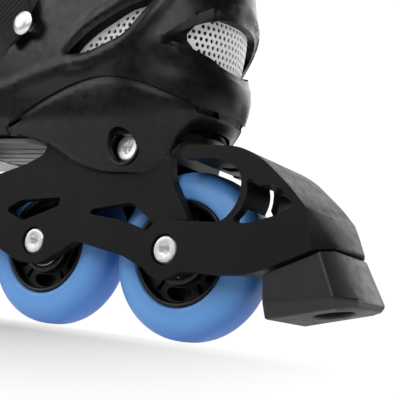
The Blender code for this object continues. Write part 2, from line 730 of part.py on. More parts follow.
def build_closures(skate, cuff, finishes):
    inner = [(-84.5, -41.5, 135.0, 38), (-100, -42.5, 151.0, 41), (-119, -39.0, 175.0, 54)]
    inner.append((-131.5, -24.0, 195.0, 70))
    knots = inner + [(-135.5, 0.0, 203.0, 78)] + [(x, -y, z, lean) for x, y, z, lean in reversed(inner)]
    strap = ribbon(smooth_path(knots, PATH_STEPS), 24.0, 2.0)
    strap = place("instep_strap", strap, finishes["webbing"], skate)
    cut(strap, discs([(INSTEP_RIVET, 2.8, -60.0, 60.0)], "Y", 12), "instep_strap_holes")
    for side, name in ((-1, "inner"), (1, "outer")):
        profile = [(0.0, 46.6), (3.4, 46.2), (5.8, 44.2), (2.4, 44.2), (2.4, 34.6), (0.0, 34.6)]
        place_pin(f"instep_rivet_{name}", profile, side, finishes["bright"], skate, INSTEP_RIVET)
    half = [(-62, -46.6, 232, 90), (-92, -47.4, 233, 90), (-114, -41.0, 234, 90), (-126, -23.0, 235, 90)]
    knots = half + [(-130.0, 0.0, 235, 90)] + [(x, -y, z, 90) for x, y, z, _ in reversed(half[2:])]
    knots.append((-91.4, 47.4, 233, 90))
    band = ribbon(smooth_path(knots, PATH_STEPS), 22.0, 1.8)
    place("cuff_strap", band, finishes["strap"], cuff)
    build_buckle(cuff, finishes)


def build_buckle(cuff, finishes):
    """Ratchet buckle on the outer side of the cuff; its lever swings out about an upright pin."""
    tray = [(-60, 46.7), (-60, 48.9), (-90, 48.9), (-90, 46.7)]
    base = place("buckle_base", plan_prism(tray, 220.0, 246.0), finishes["buckle"], cuff)
    tray_ear = rounded([(-60, 47.8), (-60, 57.5, 3), (-70, 57.5, 3), (-76, 47.8)])
    join(base, plan_prism(tray_ear, 220.4, 223.4), "buckle_ear_low")
    join(base, plan_prism(tray_ear, 242.6, 245.6), "buckle_ear_high")
    pin_at = (-65.0, 53.6)
    cut(base, discs([(pin_at, 1.8, 210.0, 256.0)], "Z", 12), "buckle_pin_holes")
    place("buckle_pin", discs([(pin_at, 1.5, 219.8, 246.2)], "Z", 12), finishes["bright"], cuff)
    pivot = empty("buckle_axis", (*pin_at, 0.0), cuff)
    lever = [(3.4, -1.0, 2), (3.4, 3.6, 2), (-20, 4.8, 20), (-44, 0.6), (-44, -1.6), (-20, 1.6, 20)]
    lever.append((-4.0, -3.4, 2))
    body = place("buckle_lever", plan_prism(rounded(lever), 224.0, 242.0), finishes["buckle"], pivot)
    cut(body, discs([((0.0, 0.0), 1.8, 210.0, 256.0)], "Z", 12), "buckle_lever_hole")


# Soft parts


LINER_WALL = 5.0
LINER_BOTTOM = 94.9
LINER_HEEL_DEPTH = 42.5
LINER_HALVES = [(-252, 12), (-244, 24), (-228, 33), (-200, 36), (-170, 35), (-125, 31.5)]
LINER_HALVES += [(-95, 31), (HEEL_X, 31)]
LINER_TOPS = [(-252, 110), (-244, 117), (-228, 124), (-200, 131), (-172, 136), (-150, 143), (-122, 166)]
LINER_TOPS += [(-108, 184), (-30, 184), (-6, 170), (8, 146)]
LINER_OPEN_FROM = -104.0
LINER_OPEN_RISE = 150.0


def liner_section(x, inset):
    """Closed section of the liner across the foot at x. Inside it, the ankle's part is open at the top."""
    half = between(x, LINER_HALVES)
    if x > HEEL_X:
        half *= math.sqrt(max(1 - ((x - HEEL_X) / LINER_HEEL_DEPTH) ** 2, 0.0))
    half = max(half - inset, 2.0)
    low = LINER_BOTTOM + inset + between(x, [(-20, 0.0), (0, 4.0), (8, 9.0)])
    top = between(x, LINER_TOPS) - inset
    if inset and x > LINER_OPEN_FROM:
        top += LINER_OPEN_RISE
    rise = top - low
    right = [(half * 0.8, low), (half, low + 5.0), (half, low + 0.45 * rise)]
    right += [(half * 0.94, low + 0.7 * rise), (half * 0.6, top)]
    return [(x, y, z) for y, z in right + [(-y, z) for y, z in reversed(right)]]


def build_soft_parts(skate, finishes):
    xs = [-252, -246, -236, -222, -200, -176, -152, -134, -118, -106, -70, HEEL_X, -18, -5, 2, 5.4]
    body = place("liner", loft([liner_section(x, 0.0) for x in xs]), finishes["fabric"], skate)
    xs = [-246, -240, -228, -200, -176, -152, -134, -119, -105, -100, -70, HEEL_X, -18, -7, -2.0, 0.6]
    cut(body, loft([liner_section(x, 5.0) for x in xs]), "liner_inside")
    throat = rounded([(-104, -18), (-104, 18), (-172, 14, 10), (-172, -14, 10)])
    cut(body, plan_prism(throat, 130.0, 230.0), "liner_throat")
    sole = [(-234, 10), (-222, 17), (-195, 22.5), (-150, 20.5), (-110, 18), (-60, 18.5), (-34, 18)]
    sole.append((-23, 10))
    place("insole", plan_prism(mirrored(sole), 100.3, 103.6), finishes["insole"], skate)
    rings = []
    for share in spread(0.0, 1.0, 10):
        half = tongue_half(share)
        across = spread(-half, half, 5)
        ring = [tongue_point(share, y, TONGUE_THICK / 2) for y in across]
        ring += [tongue_point(share, y, -TONGUE_THICK / 2) for y in reversed(across)]
        rings.append(ring)
    place("tongue", loft(rings), finishes["fabric"], skate)
    build_laces(skate, finishes)


def tongue_half(share):
    """Half the tongue's width, at a share of the way from its toe end to its top."""
    return between(share, TONGUE_HALVES)


def tongue_point(share, y, above):
    """A point above the tongue's middle surface, at a share of the way up it. Its sides bend inwards."""
    path = smooth_path(TONGUE_PATH, 61)
    place_at = share * 60
    i = min(int(place_at), 59)
    here, ahead = Vector(path[i]), Vector(path[i + 1])
    along = (ahead - here).normalized()
    bend = between(share, TONGUE_BENDS) * (y / tongue_half(share)) ** 2
    at = here + (ahead - here) * (place_at - i) + Vector((-along.y, along.x)) * (above - bend)
    return (at.x, y, at.y)


def build_laces(skate, finishes):
    """One lace that runs straight across the tongue and up at each side, held by the liner's loops."""
    points = []
    for i, share in enumerate(LACE_ROWS):
        side = 1 if i % 2 else -1
        for y in spread(-side * LACE_HALF, side * LACE_HALF, 5):
            points.append(tongue_point(share, y, TONGUE_THICK / 2 + LACE_R + 0.8))
    curve = bpy.data.curves.new("laces", "CURVE")
    curve.dimensions = "3D"
    curve.bevel_depth = LACE_R * MM
    curve.bevel_resolution = 1
    curve.use_fill_caps = True
    line = curve.splines.new("POLY")
    path = smooth_path(points, 2 * len(points))
    line.points.add(len(path) - 1)
    for point, at in zip(line.points, path):
        point.co = (*[value * MM for value in at], 1.0)
    made = bpy.data.objects.new("laces", curve)
    bpy.context.scene.collection.objects.link(made)
    made.parent = skate
    curve.materials.append(finishes["lace"])


# Brake


def housing_outline():
    """Side view of the brake housing: lug on the rear axle, body to the pad, and the arm over the wheel."""
    lug = arc(0, WHEEL_R, BRAKE_LUG_R, 90, 270, 10)
    low = [(3.4, 25.5), (10.0, 29.3, 12), (24.0, 29.0, 30), (41.0, 30.0, 20), (48.3, 32.0)]
    rear = [(72.4, 42.7), (77.0, 44.4), (69.6, 54.8, 60), (58.6, 66.0, 60)]
    arm = [(44, 77.8, 40), (32, 83.4, 40), (5.4, 84.0, 1.5), (3.2, 82.0), (3.2, 78.0, 1.5)]
    front = [(21, 78.2, 16), (34.6, 73.4, 9), (35.0, 60.0, 22), (27.5, 50.8, 9), (9, 50.8)]
    return lug + rounded([(0, WHEEL_R - BRAKE_LUG_R)] + low + rear + arm + front, 4)[1:]


def housing_window():
    """Opening behind the curved rib, through both sides."""
    low = [(60.4, 58.8, 1.5), (51.5, 54.4, 20), (41, 51.2, 20)]
    front = [(31.0, 50.8, 1.5), (36.4, 56.5, 20), (38.6, 64.0, 20), (36.4, 71.2, 1.2)]
    return rounded(front + [(42.8, 66.8, 2), (52.5, 67.4, 8)] + low)


def wheel_room():
    """Room between the cheeks for the wheel."""
    return [(-30, 10), (41.2, 10)] + arc(0, WHEEL_R, 41.2, 0, 90, 12) + [(-30, WHEEL_R + 41.2)]


def housing_hollow():
    """What is hollow behind the wheel, between the deep ribs and under a wall that follows the arm's top."""
    low = [(26, 50.6), (60.0, 50.6, 3), (58.4, 60.5, 8)]
    return rounded(low + [(49.5, 68.4, 30), (40, 74.8, 30), (27, 79.2, 10), (10, 79.2), (10, 66)])


def build_brake(skate, finishes):
    body = side_prisms([(housing_outline(), -CHEEK_OUT, CHEEK_OUT)])
    housing = place("brake_housing", body, finishes["frame"], skate)
    cut(housing, side_prisms([(wheel_room(), -CHEEK_IN, CHEEK_IN)]), "housing_wheel_room")
    cut(housing, side_prisms([(housing_hollow(), -RIB_IN, RIB_IN)]), "housing_hollow")
    cut(housing, side_prisms([(housing_window(), -40.0, 40.0)]), "housing_windows")
    seat = BRAKE_AXLE_FACE - HEAD_THICK - 0.2
    cut(housing, discs([((0.0, WHEEL_R), AXLE_R + GAP, -40.0, 40.0)], "Y", 10), "housing_axle_hole")
    wells = [((0.0, WHEEL_R), HEAD_R + 0.6, side * seat, side * 40.0) for side in (-1, 1)]
    cut(housing, discs(wells, "Y", 12), "housing_head_wells")
    for side in (-1, 1):
        corner = [(67.5, side * 28.6), (82.5, side * 3.4), (110, side * 3.4), (110, side * 28.6)]
        lean = [[(x + (43.5 - z) * 0.32, y, z) for x, y in corner] for z in (30, 80)]
        cut(housing, loft(lean), f"housing_corner_{'inner' if side < 0 else 'outer'}")
    cut(housing, brake_bore(10.0, 31.0, 3.4), "housing_bore")
    cut(housing, brake_bore(23.8, 29.0, 6.5), "housing_nut_seat")
    pad = [
        [(48.8, 22, 31.2), (72.9, 22, 41.9), (76.2, 15, 43.3)],
        [(50.0, 22, 20.2), (81.4, 22, 24.2), (87.8, 13.2, 24.6)],
        [(49.7, 17.5, 13.2), (80.0, 16.6, 20.6), (87.2, 11.5, 22.4)],
    ]
    rings = []
    for ring in reversed(pad):
        rings.append(ring + [(x, -y, z) for x, y, z in reversed(ring)])
    rubber = place("brake_pad", loft(rings), finishes["rubber"], skate)
    cut(rubber, brake_bore(-12.0, 9.5, 8.4), "pad_well")
    cut(rubber, brake_bore(5.0, 45.0, 3.4), "pad_bore")
    bolt = place("brake_bolt", brake_bore(6.2, 9.2, 5.2), finishes["steel"], skate)
    join(bolt, brake_bore(8.0, 30.5, 3.0), "brake_bolt_shank")
    nut = place("brake_nut", brake_bore(24.2, 28.6, 6.0, 6), finishes["steel"], skate)
    cut(nut, brake_bore(15.0, 40.0, 3.3), "brake_nut_thread")


def brake_bore(low, high, radius, segments=12):
    """A cylinder on the brake bolt's leaning axis, between two heights above the bottom of the pad."""
    shape = discs([((0.0, 0.0), radius, low, high)], "Z", segments)
    lean = Matrix.Rotation(math.radians(-BRAKE_BOLT_LEAN), 4, "Y")
    bmesh.ops.transform(shape, matrix=Matrix.Translation(BRAKE_BOLT_FOOT) @ lean, verts=shape.verts)
    return shape


# Fasteners between boot and frame


def build_mount_bolts(skate, finishes):
    face = PLATE_OUT + 0.3 + HEAD_THICK
    at = (CROSS_BOLT[0], 0.0, CROSS_BOLT[1])
    bolt = turned(head_profile(face, 2 * face - 6.0, 3.0), 12)
    place("heel_bolt", bolt, finishes["bright"], skate, at)
    nut = [(3.3, face), (HEAD_R, face), (HEAD_R, face - HEAD_THICK), (3.3, face - HEAD_THICK)]
    place("heel_nut", turned(nut, 12), finishes["bright"], skate, at)
    head = discs([((TOE_BOLT_X, 0.0), 6.0, 88.0 + WALL + 0.2, 94.4)], "Z", 16)
    head = place("toe_bolt", head, finishes["steel"], skate)
    join(head, discs([((TOE_BOLT_X, 0.0), 3.0, 72.0, 93.0)], "Z", 16), "toe_bolt_shank")
    nut = [(TOE_BOLT_X + x, y) for x, y in arc(0, 0, 6.2, 0, 300, 5)]
    nut = place("toe_nut", plan_prism(nut, 73.0, 77.7), finishes["steel"], skate)
    cut(nut, discs([((TOE_BOLT_X, 0.0), 3.3, 60.0, 90.0)], "Z", 16), "toe_nut_thread")


def main():
    skate = start_scene()
    finishes = {
        "tyre": material("tyre_blue", (0.13, 0.31, 0.62), 0.35),
        "hub": material("hub_black", (0.016, 0.016, 0.018), 0.4),
        "frame": material("frame_black", (0.020, 0.020, 0.021), 0.45),
        "shell": material("shell_black", (0.018, 0.018, 0.019), 0.4),
        "rack": material("rack_grey", (0.19, 0.19, 0.19), 0.5),
        "mesh": material("mesh_grey", (0.56, 0.57, 0.58), 0.6),
        "rubber": material("pad_rubber", (0.030, 0.030, 0.031), 0.7),
        "steel": material("steel", (0.45, 0.46, 0.48), 0.3, 1.0),
        "bright": material("bright_steel", (0.72, 0.73, 0.74), 0.25, 1.0),
        "fabric": material("liner_fabric", (0.018, 0.018, 0.02), 0.9),
        "insole": material("insole_foam", (0.05, 0.05, 0.055), 0.95),
        "webbing": material("webbing_black", (0.015, 0.015, 0.016), 0.85),
        "strap": material("strap_plastic", (0.018, 0.018, 0.019), 0.4),
        "buckle": material("buckle_plastic", (0.022, 0.022, 0.023), 0.38),
        "lace": material("lace_black", (0.02, 0.02, 0.022), 0.9),
    }
    build_wheels(skate, finishes)
    build_frame(skate, finishes)
    build_heel_base(skate, finishes)
    build_boot_shell(skate, finishes)
    build_meshes(skate, finishes)
    build_toe(skate, finishes)
    build_size_button(skate, finishes)
    cuff = build_cuff(skate, finishes)
    build_closures(skate, cuff, finishes)
    build_soft_parts(skate, finishes)
    build_brake(skate, finishes)
    build_mount_bolts(skate, finishes)


main()
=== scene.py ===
import math

import bmesh
import bpy
import numpy as np
from mathutils import Matrix, Vector
from mathutils.geometry import delaunay_2d_cdt


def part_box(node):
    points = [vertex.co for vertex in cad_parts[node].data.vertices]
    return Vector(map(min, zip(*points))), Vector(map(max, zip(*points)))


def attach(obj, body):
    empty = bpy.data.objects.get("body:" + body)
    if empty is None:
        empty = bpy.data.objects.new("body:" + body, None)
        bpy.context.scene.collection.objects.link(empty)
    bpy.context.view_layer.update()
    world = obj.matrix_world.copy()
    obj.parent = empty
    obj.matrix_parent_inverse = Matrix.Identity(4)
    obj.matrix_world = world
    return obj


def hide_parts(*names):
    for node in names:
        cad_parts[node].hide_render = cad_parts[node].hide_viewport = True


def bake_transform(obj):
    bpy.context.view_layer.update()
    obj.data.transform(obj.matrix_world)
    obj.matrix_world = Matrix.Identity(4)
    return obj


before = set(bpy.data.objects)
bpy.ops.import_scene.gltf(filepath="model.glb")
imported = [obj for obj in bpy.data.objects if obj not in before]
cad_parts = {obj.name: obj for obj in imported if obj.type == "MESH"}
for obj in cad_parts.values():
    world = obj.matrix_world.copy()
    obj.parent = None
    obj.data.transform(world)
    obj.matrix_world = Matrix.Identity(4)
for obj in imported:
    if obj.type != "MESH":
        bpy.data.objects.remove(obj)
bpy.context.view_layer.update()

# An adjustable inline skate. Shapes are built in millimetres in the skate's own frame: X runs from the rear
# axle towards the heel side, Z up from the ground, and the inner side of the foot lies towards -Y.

MM = 0.001


def middle_mm(node):
    low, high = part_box(node)
    return np.array((low + high) / 2) / MM


REAR_AXLE = middle_mm("wheel_4_tyre")
ORIGIN = np.array((REAR_AXLE[0], REAR_AXLE[1], 0.0))
WHEEL_R = REAR_AXLE[2]
PITCH = REAR_AXLE[0] - middle_mm("wheel_3_tyre")[0]
WHEELS = 4
HUB_R = 23.6
BEARING_R = 11.0
BORE_R = 4.3
BORE_CLEAR, HEAD_CLEAR, LUG_CLEAR = 0.1, 0.55, 0.4
BOLT_HOLE_R, RIVET_HOLE_R = 3.3, 2.6
RIVET_SEAT = 44.2
PLATE_IN, PLATE_OUT = 14.5, 20.3
HEAD_R, HEAD_THICK, SOCKET = 6.3, 2.7, 2.35
AXLE_FACE, BRAKE_AXLE_FACE = 19.6, 22.9
CROSS_BOLT = (-28.0, 82.6)
TOE_BOLT_X = -192.0
CUFF_PIVOT = (-58.0, 172.0)
INSTEP_RIVET = (-85.0, 138.4)
HEEL_X = -35.0
SIDES = ((-1, "inner"), (1, "outer"))
DOWN = (0, 0, -1)


# Plane geometry


def arc(cx, cz, radius, start, end, steps):
    """Points of an arc from one angle to another (degrees)."""
    angles = np.radians(np.linspace(start, end, steps + 1))
    return [(cx + radius * math.cos(a), cz + radius * math.sin(a)) for a in angles]


def circle(at, radius, steps=40):
    return arc(*at, radius, 0, 360 - 360 / steps, steps - 1)


def rounded(corners, steps=5):
    """The outline through corners (x, z) or (x, z, radius), with an arc at each one that has a radius."""
    points = []
    count = len(corners)
    for i, corner in enumerate(corners):
        here = Vector(corner[:2])
        if len(corner) == 2:
            points.append(tuple(here))
            continue
        before = Vector(corners[i - 1][:2]) - here
        after = Vector(corners[(i + 1) % count][:2]) - here
        half = before.angle(after) / 2
        reach = min(corner[2] / math.tan(half), 0.49 * before.length, 0.49 * after.length)
        if reach < 0.05:
            points.append(tuple(here))
            continue
        radius = reach * math.tan(half)
        middle = here + (before.normalized() + after.normalized()).normalized() * radius / math.sin(half)
        first = here + before.normalized() * reach - middle
        last = here + after.normalized() * reach - middle
        turn = first.angle_signed(last)
        for step in range(steps + 1):
            angle = -turn * step / steps
            cosine, sine = math.cos(angle), math.sin(angle)
            spoke = Vector((first.x * cosine - first.y * sine, first.x * sine + first.y * cosine))
            points.append(tuple(middle + spoke))
    return points


def pill(left, right, low, high, radius):
    """A rectangle with round corners."""
    corners = [(left, low), (right, low), (right, high), (left, high)]
    return rounded([(*corner, radius) for corner in corners])


def curve(x, knots):
    """Values at x (a number or an array) of the smooth curve through the knots (x, value)."""
    table = np.array(knots, float)
    x = np.asarray(x, float)
    widths = np.diff(table[:, 0])
    slopes = np.diff(table[:, 1]) / widths
    product = slopes[:-1] * slopes[1:]
    total = slopes[:-1] + slopes[1:]
    inner = np.where(product > 0, 2 * product / np.where(product > 0, total, 1.0), 0.0)
    leans = np.concatenate([slopes[:1], inner, slopes[-1:]])
    i = np.clip(np.searchsorted(table[:, 0], x, side="right") - 1, 0, len(widths) - 1)
    t = np.clip((x - table[i, 0]) / widths[i], 0.0, 1.0)
    value = (
        (2 * t**3 - 3 * t**2 + 1) * table[i, 1]
        + (t**3 - 2 * t**2 + t) * widths[i] * leans[i]
        + (3 * t**2 - 2 * t**3) * table[i + 1, 1]
        + (t**3 - t**2) * widths[i] * leans[i + 1]
    )
    return value if np.ndim(value) else float(value)


def resampled(points, step, closed=True):
    """The polyline with extra points, so that no stretch is longer than step."""
    points = [np.array(p, float) for p in points]
    ends = points[1:] + points[:1] if closed else points[1:]
    result = []
    for a, b in zip(points, ends):
        count = max(1, math.ceil(np.linalg.norm(b - a) / step))
        result += [a + (b - a) * i / count for i in range(count)]
    if not closed:
        result.append(points[-1])
    kept = [result[0]]
    for p in result[1:]:
        if np.linalg.norm(p - kept[-1]) > 0.05:
            kept.append(p)
    if closed and np.linalg.norm(kept[0] - kept[-1]) < 0.05:
        kept.pop()
    return np.array(kept)


def inside(points, loop):
    """Which of the points (N, 2) lie inside the closed loop (M, 2)."""
    x, y = points[:, 0:1], points[:, 1:2]
    a, b = loop, np.roll(loop, -1, axis=0)
    crosses = (a[:, 1] > y) != (b[:, 1] > y)
    rise = b[:, 1] - a[:, 1]
    at = a[:, 0] + (y - a[:, 1]) * (b[:, 0] - a[:, 0]) / np.where(np.abs(rise) < 1e-12, 1e-12, rise)
    return (crosses & (x < at)).sum(axis=1) % 2 == 1


def distance(points, line, closed=True):
    """How far each of the points (N, 2) is from the polyline."""
    line = np.asarray(line, float)
    a = line if closed else line[:-1]
    b = np.roll(line, -1, axis=0) if closed else line[1:]
    along = b - a
    size = np.maximum((along * along).sum(axis=1), 1e-12)
    best = np.full(len(points), 1e9)
    for start, run, length in zip(a, along, size):
        t = np.clip(((points - start) @ run) / length, 0.0, 1.0)
        best = np.minimum(best, np.linalg.norm(points - start - t[:, None] * run, axis=1))
    return best


# Making pieces

JOIN = 0.01
BEVEL_FROM = 40


def linked(name, data):
    made = bpy.data.objects.new(name, data)
    bpy.context.scene.collection.objects.link(made)
    return made


def raw(name, shape, join=0.0):
    """An object of (points, faces) in the skate's frame. Points nearer to each other than join merge."""
    points, faces = shape
    mesh = bpy.data.meshes.new(name)
    placed = (np.asarray(points, float) + ORIGIN) * MM
    mesh.from_pydata([tuple(p) for p in placed], [], [tuple(int(i) for i in face) for face in faces])
    work = bmesh.new()
    work.from_mesh(mesh)
    if join:
        bmesh.ops.remove_doubles(work, verts=work.verts, dist=join * MM)
    bmesh.ops.recalc_face_normals(work, faces=work.faces)
    work.to_mesh(mesh)
    work.free()
    return linked(name, mesh)


def subtracted(made, cutters):
    """Cuts the cutters (points, faces) from an object, for good."""
    for cutter in cutters:
        tool = raw("cutter", cutter)
        change = made.modifiers.new("cut", "BOOLEAN")
        change.object = tool
        change.solver = "EXACT"
        bpy.context.view_layer.update()
        evaluated = made.evaluated_get(bpy.context.evaluated_depsgraph_get())
        old, made.data = made.data, bpy.data.meshes.new_from_object(evaluated)
        made.modifiers.clear()
        bpy.data.meshes.remove(old)
        bpy.data.objects.remove(tool)


def piece(name, shape, look, node=None, body="root", at=None, cutters=(), **how):
    """A piece made of (points, faces) less its cutters, standing for a node. Its own middle goes to at."""
    made = raw(name, shape, 0.0 if cutters else JOIN)
    subtracted(made, cutters)
    dressed(made, look, node, body, **how)
    if at is not None:
        shift = Vector((np.array(at) + ORIGIN) * MM)
        made.data.transform(Matrix.Translation(-shift))
        made.location = shift
    return made


def dressed(made, look, node, body, edge=0.0, sharp=35, blend=None):
    """Gives an object its material and body. An edge above 0 rounds its sharp edges by so much."""
    made.data.materials.clear()
    made.data.materials.append(LOOKS[look])
    made.data.shade_smooth()
    if edge:
        bevel = made.modifiers.new("edges", "BEVEL")
        bevel.width = edge * MM
        bevel.segments = 2
        bevel.limit_method = "ANGLE"
        bevel.angle_limit = math.radians(BEVEL_FROM)
        bevel.harden_normals = True
    else:
        made.data.set_sharp_from_angle(angle=math.radians(sharp))
    if blend:
        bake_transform(made)
    else:
        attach(made, body)
    if node:
        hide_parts(node)


def skin(rings, closed=False, caps=True):
    """Points and faces of a skin over loops of equally many points."""
    size = len(rings[0])
    points = [p for ring in rings for p in ring]
    faces = []
    spans = len(rings) if closed else len(rings) - 1
    for r in range(spans):
        low, high = r * size, (r + 1) % len(rings) * size
        for i in range(size):
            j = (i + 1) % size
            faces.append((low + i, low + j, high + j, high + i))
    if caps and not closed:
        faces.append(tuple(reversed(range(size))))
        faces.append(tuple(range((len(rings) - 1) * size, len(rings) * size)))
    return points, faces


def merged(*shapes):
    """Several (points, faces) as one."""
    points, faces = [], []
    for some, these in shapes:
        start = len(points)
        points += [tuple(p) for p in some]
        faces += [tuple(i + start for i in face) for face in these]
    return points, faces


def mirrored(half):
    """Half of a symmetric loop (u, v), with its mirror image in u = 0 added."""
    return half + [(-u, v) for u, v in reversed(half)]


def turned(profile, place, segments):
    """Turns a profile (radius or radius(angle), height). place(a, b, height) gives the point of the frame."""
    rings = []
    for radius, height in profile:
        ring = []
        for i in range(segments):
            angle = 2 * math.pi * i / segments
            r = radius(angle) if callable(radius) else radius
            ring.append(tuple(place(r * math.cos(angle), r * math.sin(angle), height)))
        rings.append(ring)
    return skin(rings)


def lathe(profile, at, segments=64, side=1):
    """Turns the profile (radius, y) about the axis along Y at (x, z)."""
    return turned(profile, lambda a, b, y: (at[0] + a, side * y, at[1] + b), segments)


def hexagon(across, share=1.0):
    """Radius of a hexagon at an angle: across is from its middle to a flat."""
    return lambda a: share * (across / math.cos((a + math.pi / 6) % (math.pi / 3) - math.pi / 6))


def tube_ring(profile, at, segments=96, side=1):
    """As lathe, for a profile that is a closed loop away from the axis."""
    rings = []
    for i in range(segments):
        angle = 2 * math.pi * i / segments
        c, s = math.cos(angle), math.sin(angle)
        rings.append([(at[0] + r * c, side * y, at[1] + r * s) for r, y in profile])
    return skin(rings, closed=True)


def prism(outline, low, high, axis="y"):
    """An outline (x, z) drawn out along Y, or an outline (x, y) drawn out along Z."""
    rings = []
    for along in (low, high):
        if axis == "y":
            rings.append([(u, along, v) for u, v in outline])
        else:
            rings.append([(u, v, along) for u, v in outline])
    return skin(rings)


def vertex_normals(points, faces):
    a, b, c = (points[faces[:, i]] for i in range(3))
    flat = np.cross(b - a, c - a)
    total = np.zeros_like(points)
    for i in range(3):
        np.add.at(total, faces[:, i], flat)
    return total / np.maximum(np.linalg.norm(total, axis=1, keepdims=True), 1e-12)


def triangulated(outline, holes=(), creases=(), step=3.0, fine=1.2):
    """Points (u, v) and triangles that fill an outline, finer round its holes and along its creases."""
    border, *gaps = [resampled(outline, step)] + [resampled(hole, fine) for hole in holes]
    lines = [resampled(crease, fine, closed=False) for crease in creases]

    def filled(points):
        kept = inside(points, border)
        for gap in gaps:
            kept &= ~inside(points, gap)
        return kept

    low, high = border.min(axis=0), border.max(axis=0)
    grid = [np.zeros((0, 2))]
    for k, v in enumerate(np.arange(low[1] + step / 2, high[1], step * 0.87)):
        us = np.arange(low[0] + (0.25 + 0.5 * (k % 2)) * step, high[0], step)
        grid.append(np.column_stack([us, np.full_like(us, v)]))
    grid = np.vstack(grid)
    near = 0.45 * min(step, 2 * fine)
    keep = filled(grid) & (distance(grid, border) > 0.45 * step)
    rows = [(row, True) for row in gaps] + [(row, False) for row in lines]
    for row, closed in rows:
        keep &= distance(grid, row, closed) > near
    coords, edges = [], []
    for row, closed in [(border, True)] + rows:
        start, count = len(coords), len(row)
        coords += [tuple(p) for p in row]
        edges += [(start + i, start + (i + 1) % count) for i in range(count if closed else count - 1)]
    coords += [tuple(p) for p in grid[keep]]
    flat, _, faces, *_ = delaunay_2d_cdt([Vector(p) for p in coords], edges, [], 0, 1e-6)
    flat = np.array([tuple(p) for p in flat])
    faces = np.array([face for face in faces if len(face) == 3])
    used, faces = np.unique(faces[filled(flat[faces].mean(axis=1))], return_inverse=True)
    return flat[used], faces.reshape(-1, 3)


def laid(flat, faces, surface, facing):
    """The flat points on a surface, the triangles turned so that they look outwards, and the normals."""
    front = np.column_stack(surface(flat[:, 0], flat[:, 1]))
    normals = vertex_normals(front, faces)
    outwards = front - front.mean(axis=0) if facing is None else np.array(facing, float)
    if (normals * outwards).sum() < 0:
        return front, faces[:, ::-1], -normals
    return front, faces, normals


def between_sheets(front, back, faces):
    """A solid between two sheets with the same triangles."""
    count = len(front)
    ways = np.concatenate([faces[:, [0, 1]], faces[:, [1, 2]], faces[:, [2, 0]]])
    known = {(int(a), int(b)) for a, b in ways}
    rim = sorted((a, b) for a, b in known if (b, a) not in known)
    solid = [tuple(f) for f in faces] + [tuple(f[::-1] + count) for f in faces]
    solid += [(b, a, a + count, b + count) for a, b in rim]
    return np.vstack([front, back]), solid


def panel_shape(outline, surface, thick, holes=(), creases=(), step=3.0, fine=1.2, facing=None, relief=None):
    """A sheet cut to an outline, laid on a surface and given a thickness inwards.

    The outline, holes and creases are in the sheet's own (u, v). surface(u, v) gives the points, facing says
    which way its outer side looks, and relief(u, v) how far it stands proud.
    """
    flat, faces = triangulated(outline, holes, creases, step, fine)
    front, faces, normals = laid(flat, faces, surface, facing)
    if relief is not None:
        front = front + normals * relief(flat[:, 0], flat[:, 1])[:, None]
        normals = vertex_normals(front, faces)
    return between_sheets(front, front - normals * thick, faces)


def cushion_shape(outline, surface, thick, shoulder, seams=(), seam_depth=0.5, step=3.0, facing=None):
    """A stuffed pad about a surface: full in its middle, thin at its edge, and drawn in along its seams."""
    flat, faces = triangulated(outline, (), seams, step, step)
    front, faces, normals = laid(flat, faces, surface, facing)
    edge = np.clip(distance(flat, resampled(outline, step)) / shoulder, 0.0, 1.0)
    full = np.sqrt(np.clip(1.0 - (1.0 - edge) ** 2, 0.0, 1.0))
    for seam in seams:
        near = distance(flat, np.array(seam, float), closed=False)
        full = full * (1.0 - seam_depth * np.exp(-((near / (0.35 * shoulder)) ** 2)))
    half = (0.06 + 0.94 * full)[:, None] * thick / 2
    return between_sheets(front + normals * half, front - normals * half, faces)


def plane(y):
    """The upright plane at y, as a surface over (x, z)."""
    return lambda x, z: (x, np.full_like(x, y), z)


def level(z):
    """The flat plane at z, as a surface over (x, y)."""
    return lambda x, y: (x, y, np.full_like(x, z))


def side_panel(outline, side, outer, thick, **how):
    """An upright plate of an outline (x, z), with its outer face at |y| = outer."""
    return panel_shape(outline, plane(side * outer), thick, facing=(0, side, 0), **how)


# Materials


WHITE = (1.0, 1.0, 1.0, 1.0)


def grey(value, tint=0.0):
    return (value, value, value * (1 + tint))


class Nodes:
    """A node tree, with short ways to add to it. Inputs are numbers, colours or outputs of other nodes."""

    def __init__(self, tree):
        self.nodes, self.links = tree.nodes, tree.links

    def put(self, node, inputs):
        for name, value in inputs.items():
            if isinstance(value, bpy.types.NodeSocket):
                self.links.new(value, node.inputs[name])
            else:
                node.inputs[name].default_value = value

    def add(self, kind, output, inputs, **settings):
        made = self.nodes.new("ShaderNode" + kind)
        for name, value in settings.items():
            setattr(made, name, value)
        self.put(made, inputs)
        return made.outputs[output]

    def maths(self, operation, first, second):
        return self.add("Math", "Value", {0: first, 1: second}, operation=operation)

    def ranged(self, value, low, high, start=0.3, end=0.7):
        inputs = {"Value": value, "From Min": start, "From Max": end, "To Min": low, "To Max": high}
        return self.add("MapRange", "Result", inputs)

    def ramp(self, factor, stops):
        """A colour ramp with stops (position, colour)."""
        colour = self.add("ValToRGB", "Color", {"Fac": factor})
        elements = colour.node.color_ramp.elements
        while len(elements) < len(stops):
            elements.new(0.5)
        for element, (position, shade) in zip(elements, stops):
            element.position = position
            element.color = (*shade, 1.0)
        return colour


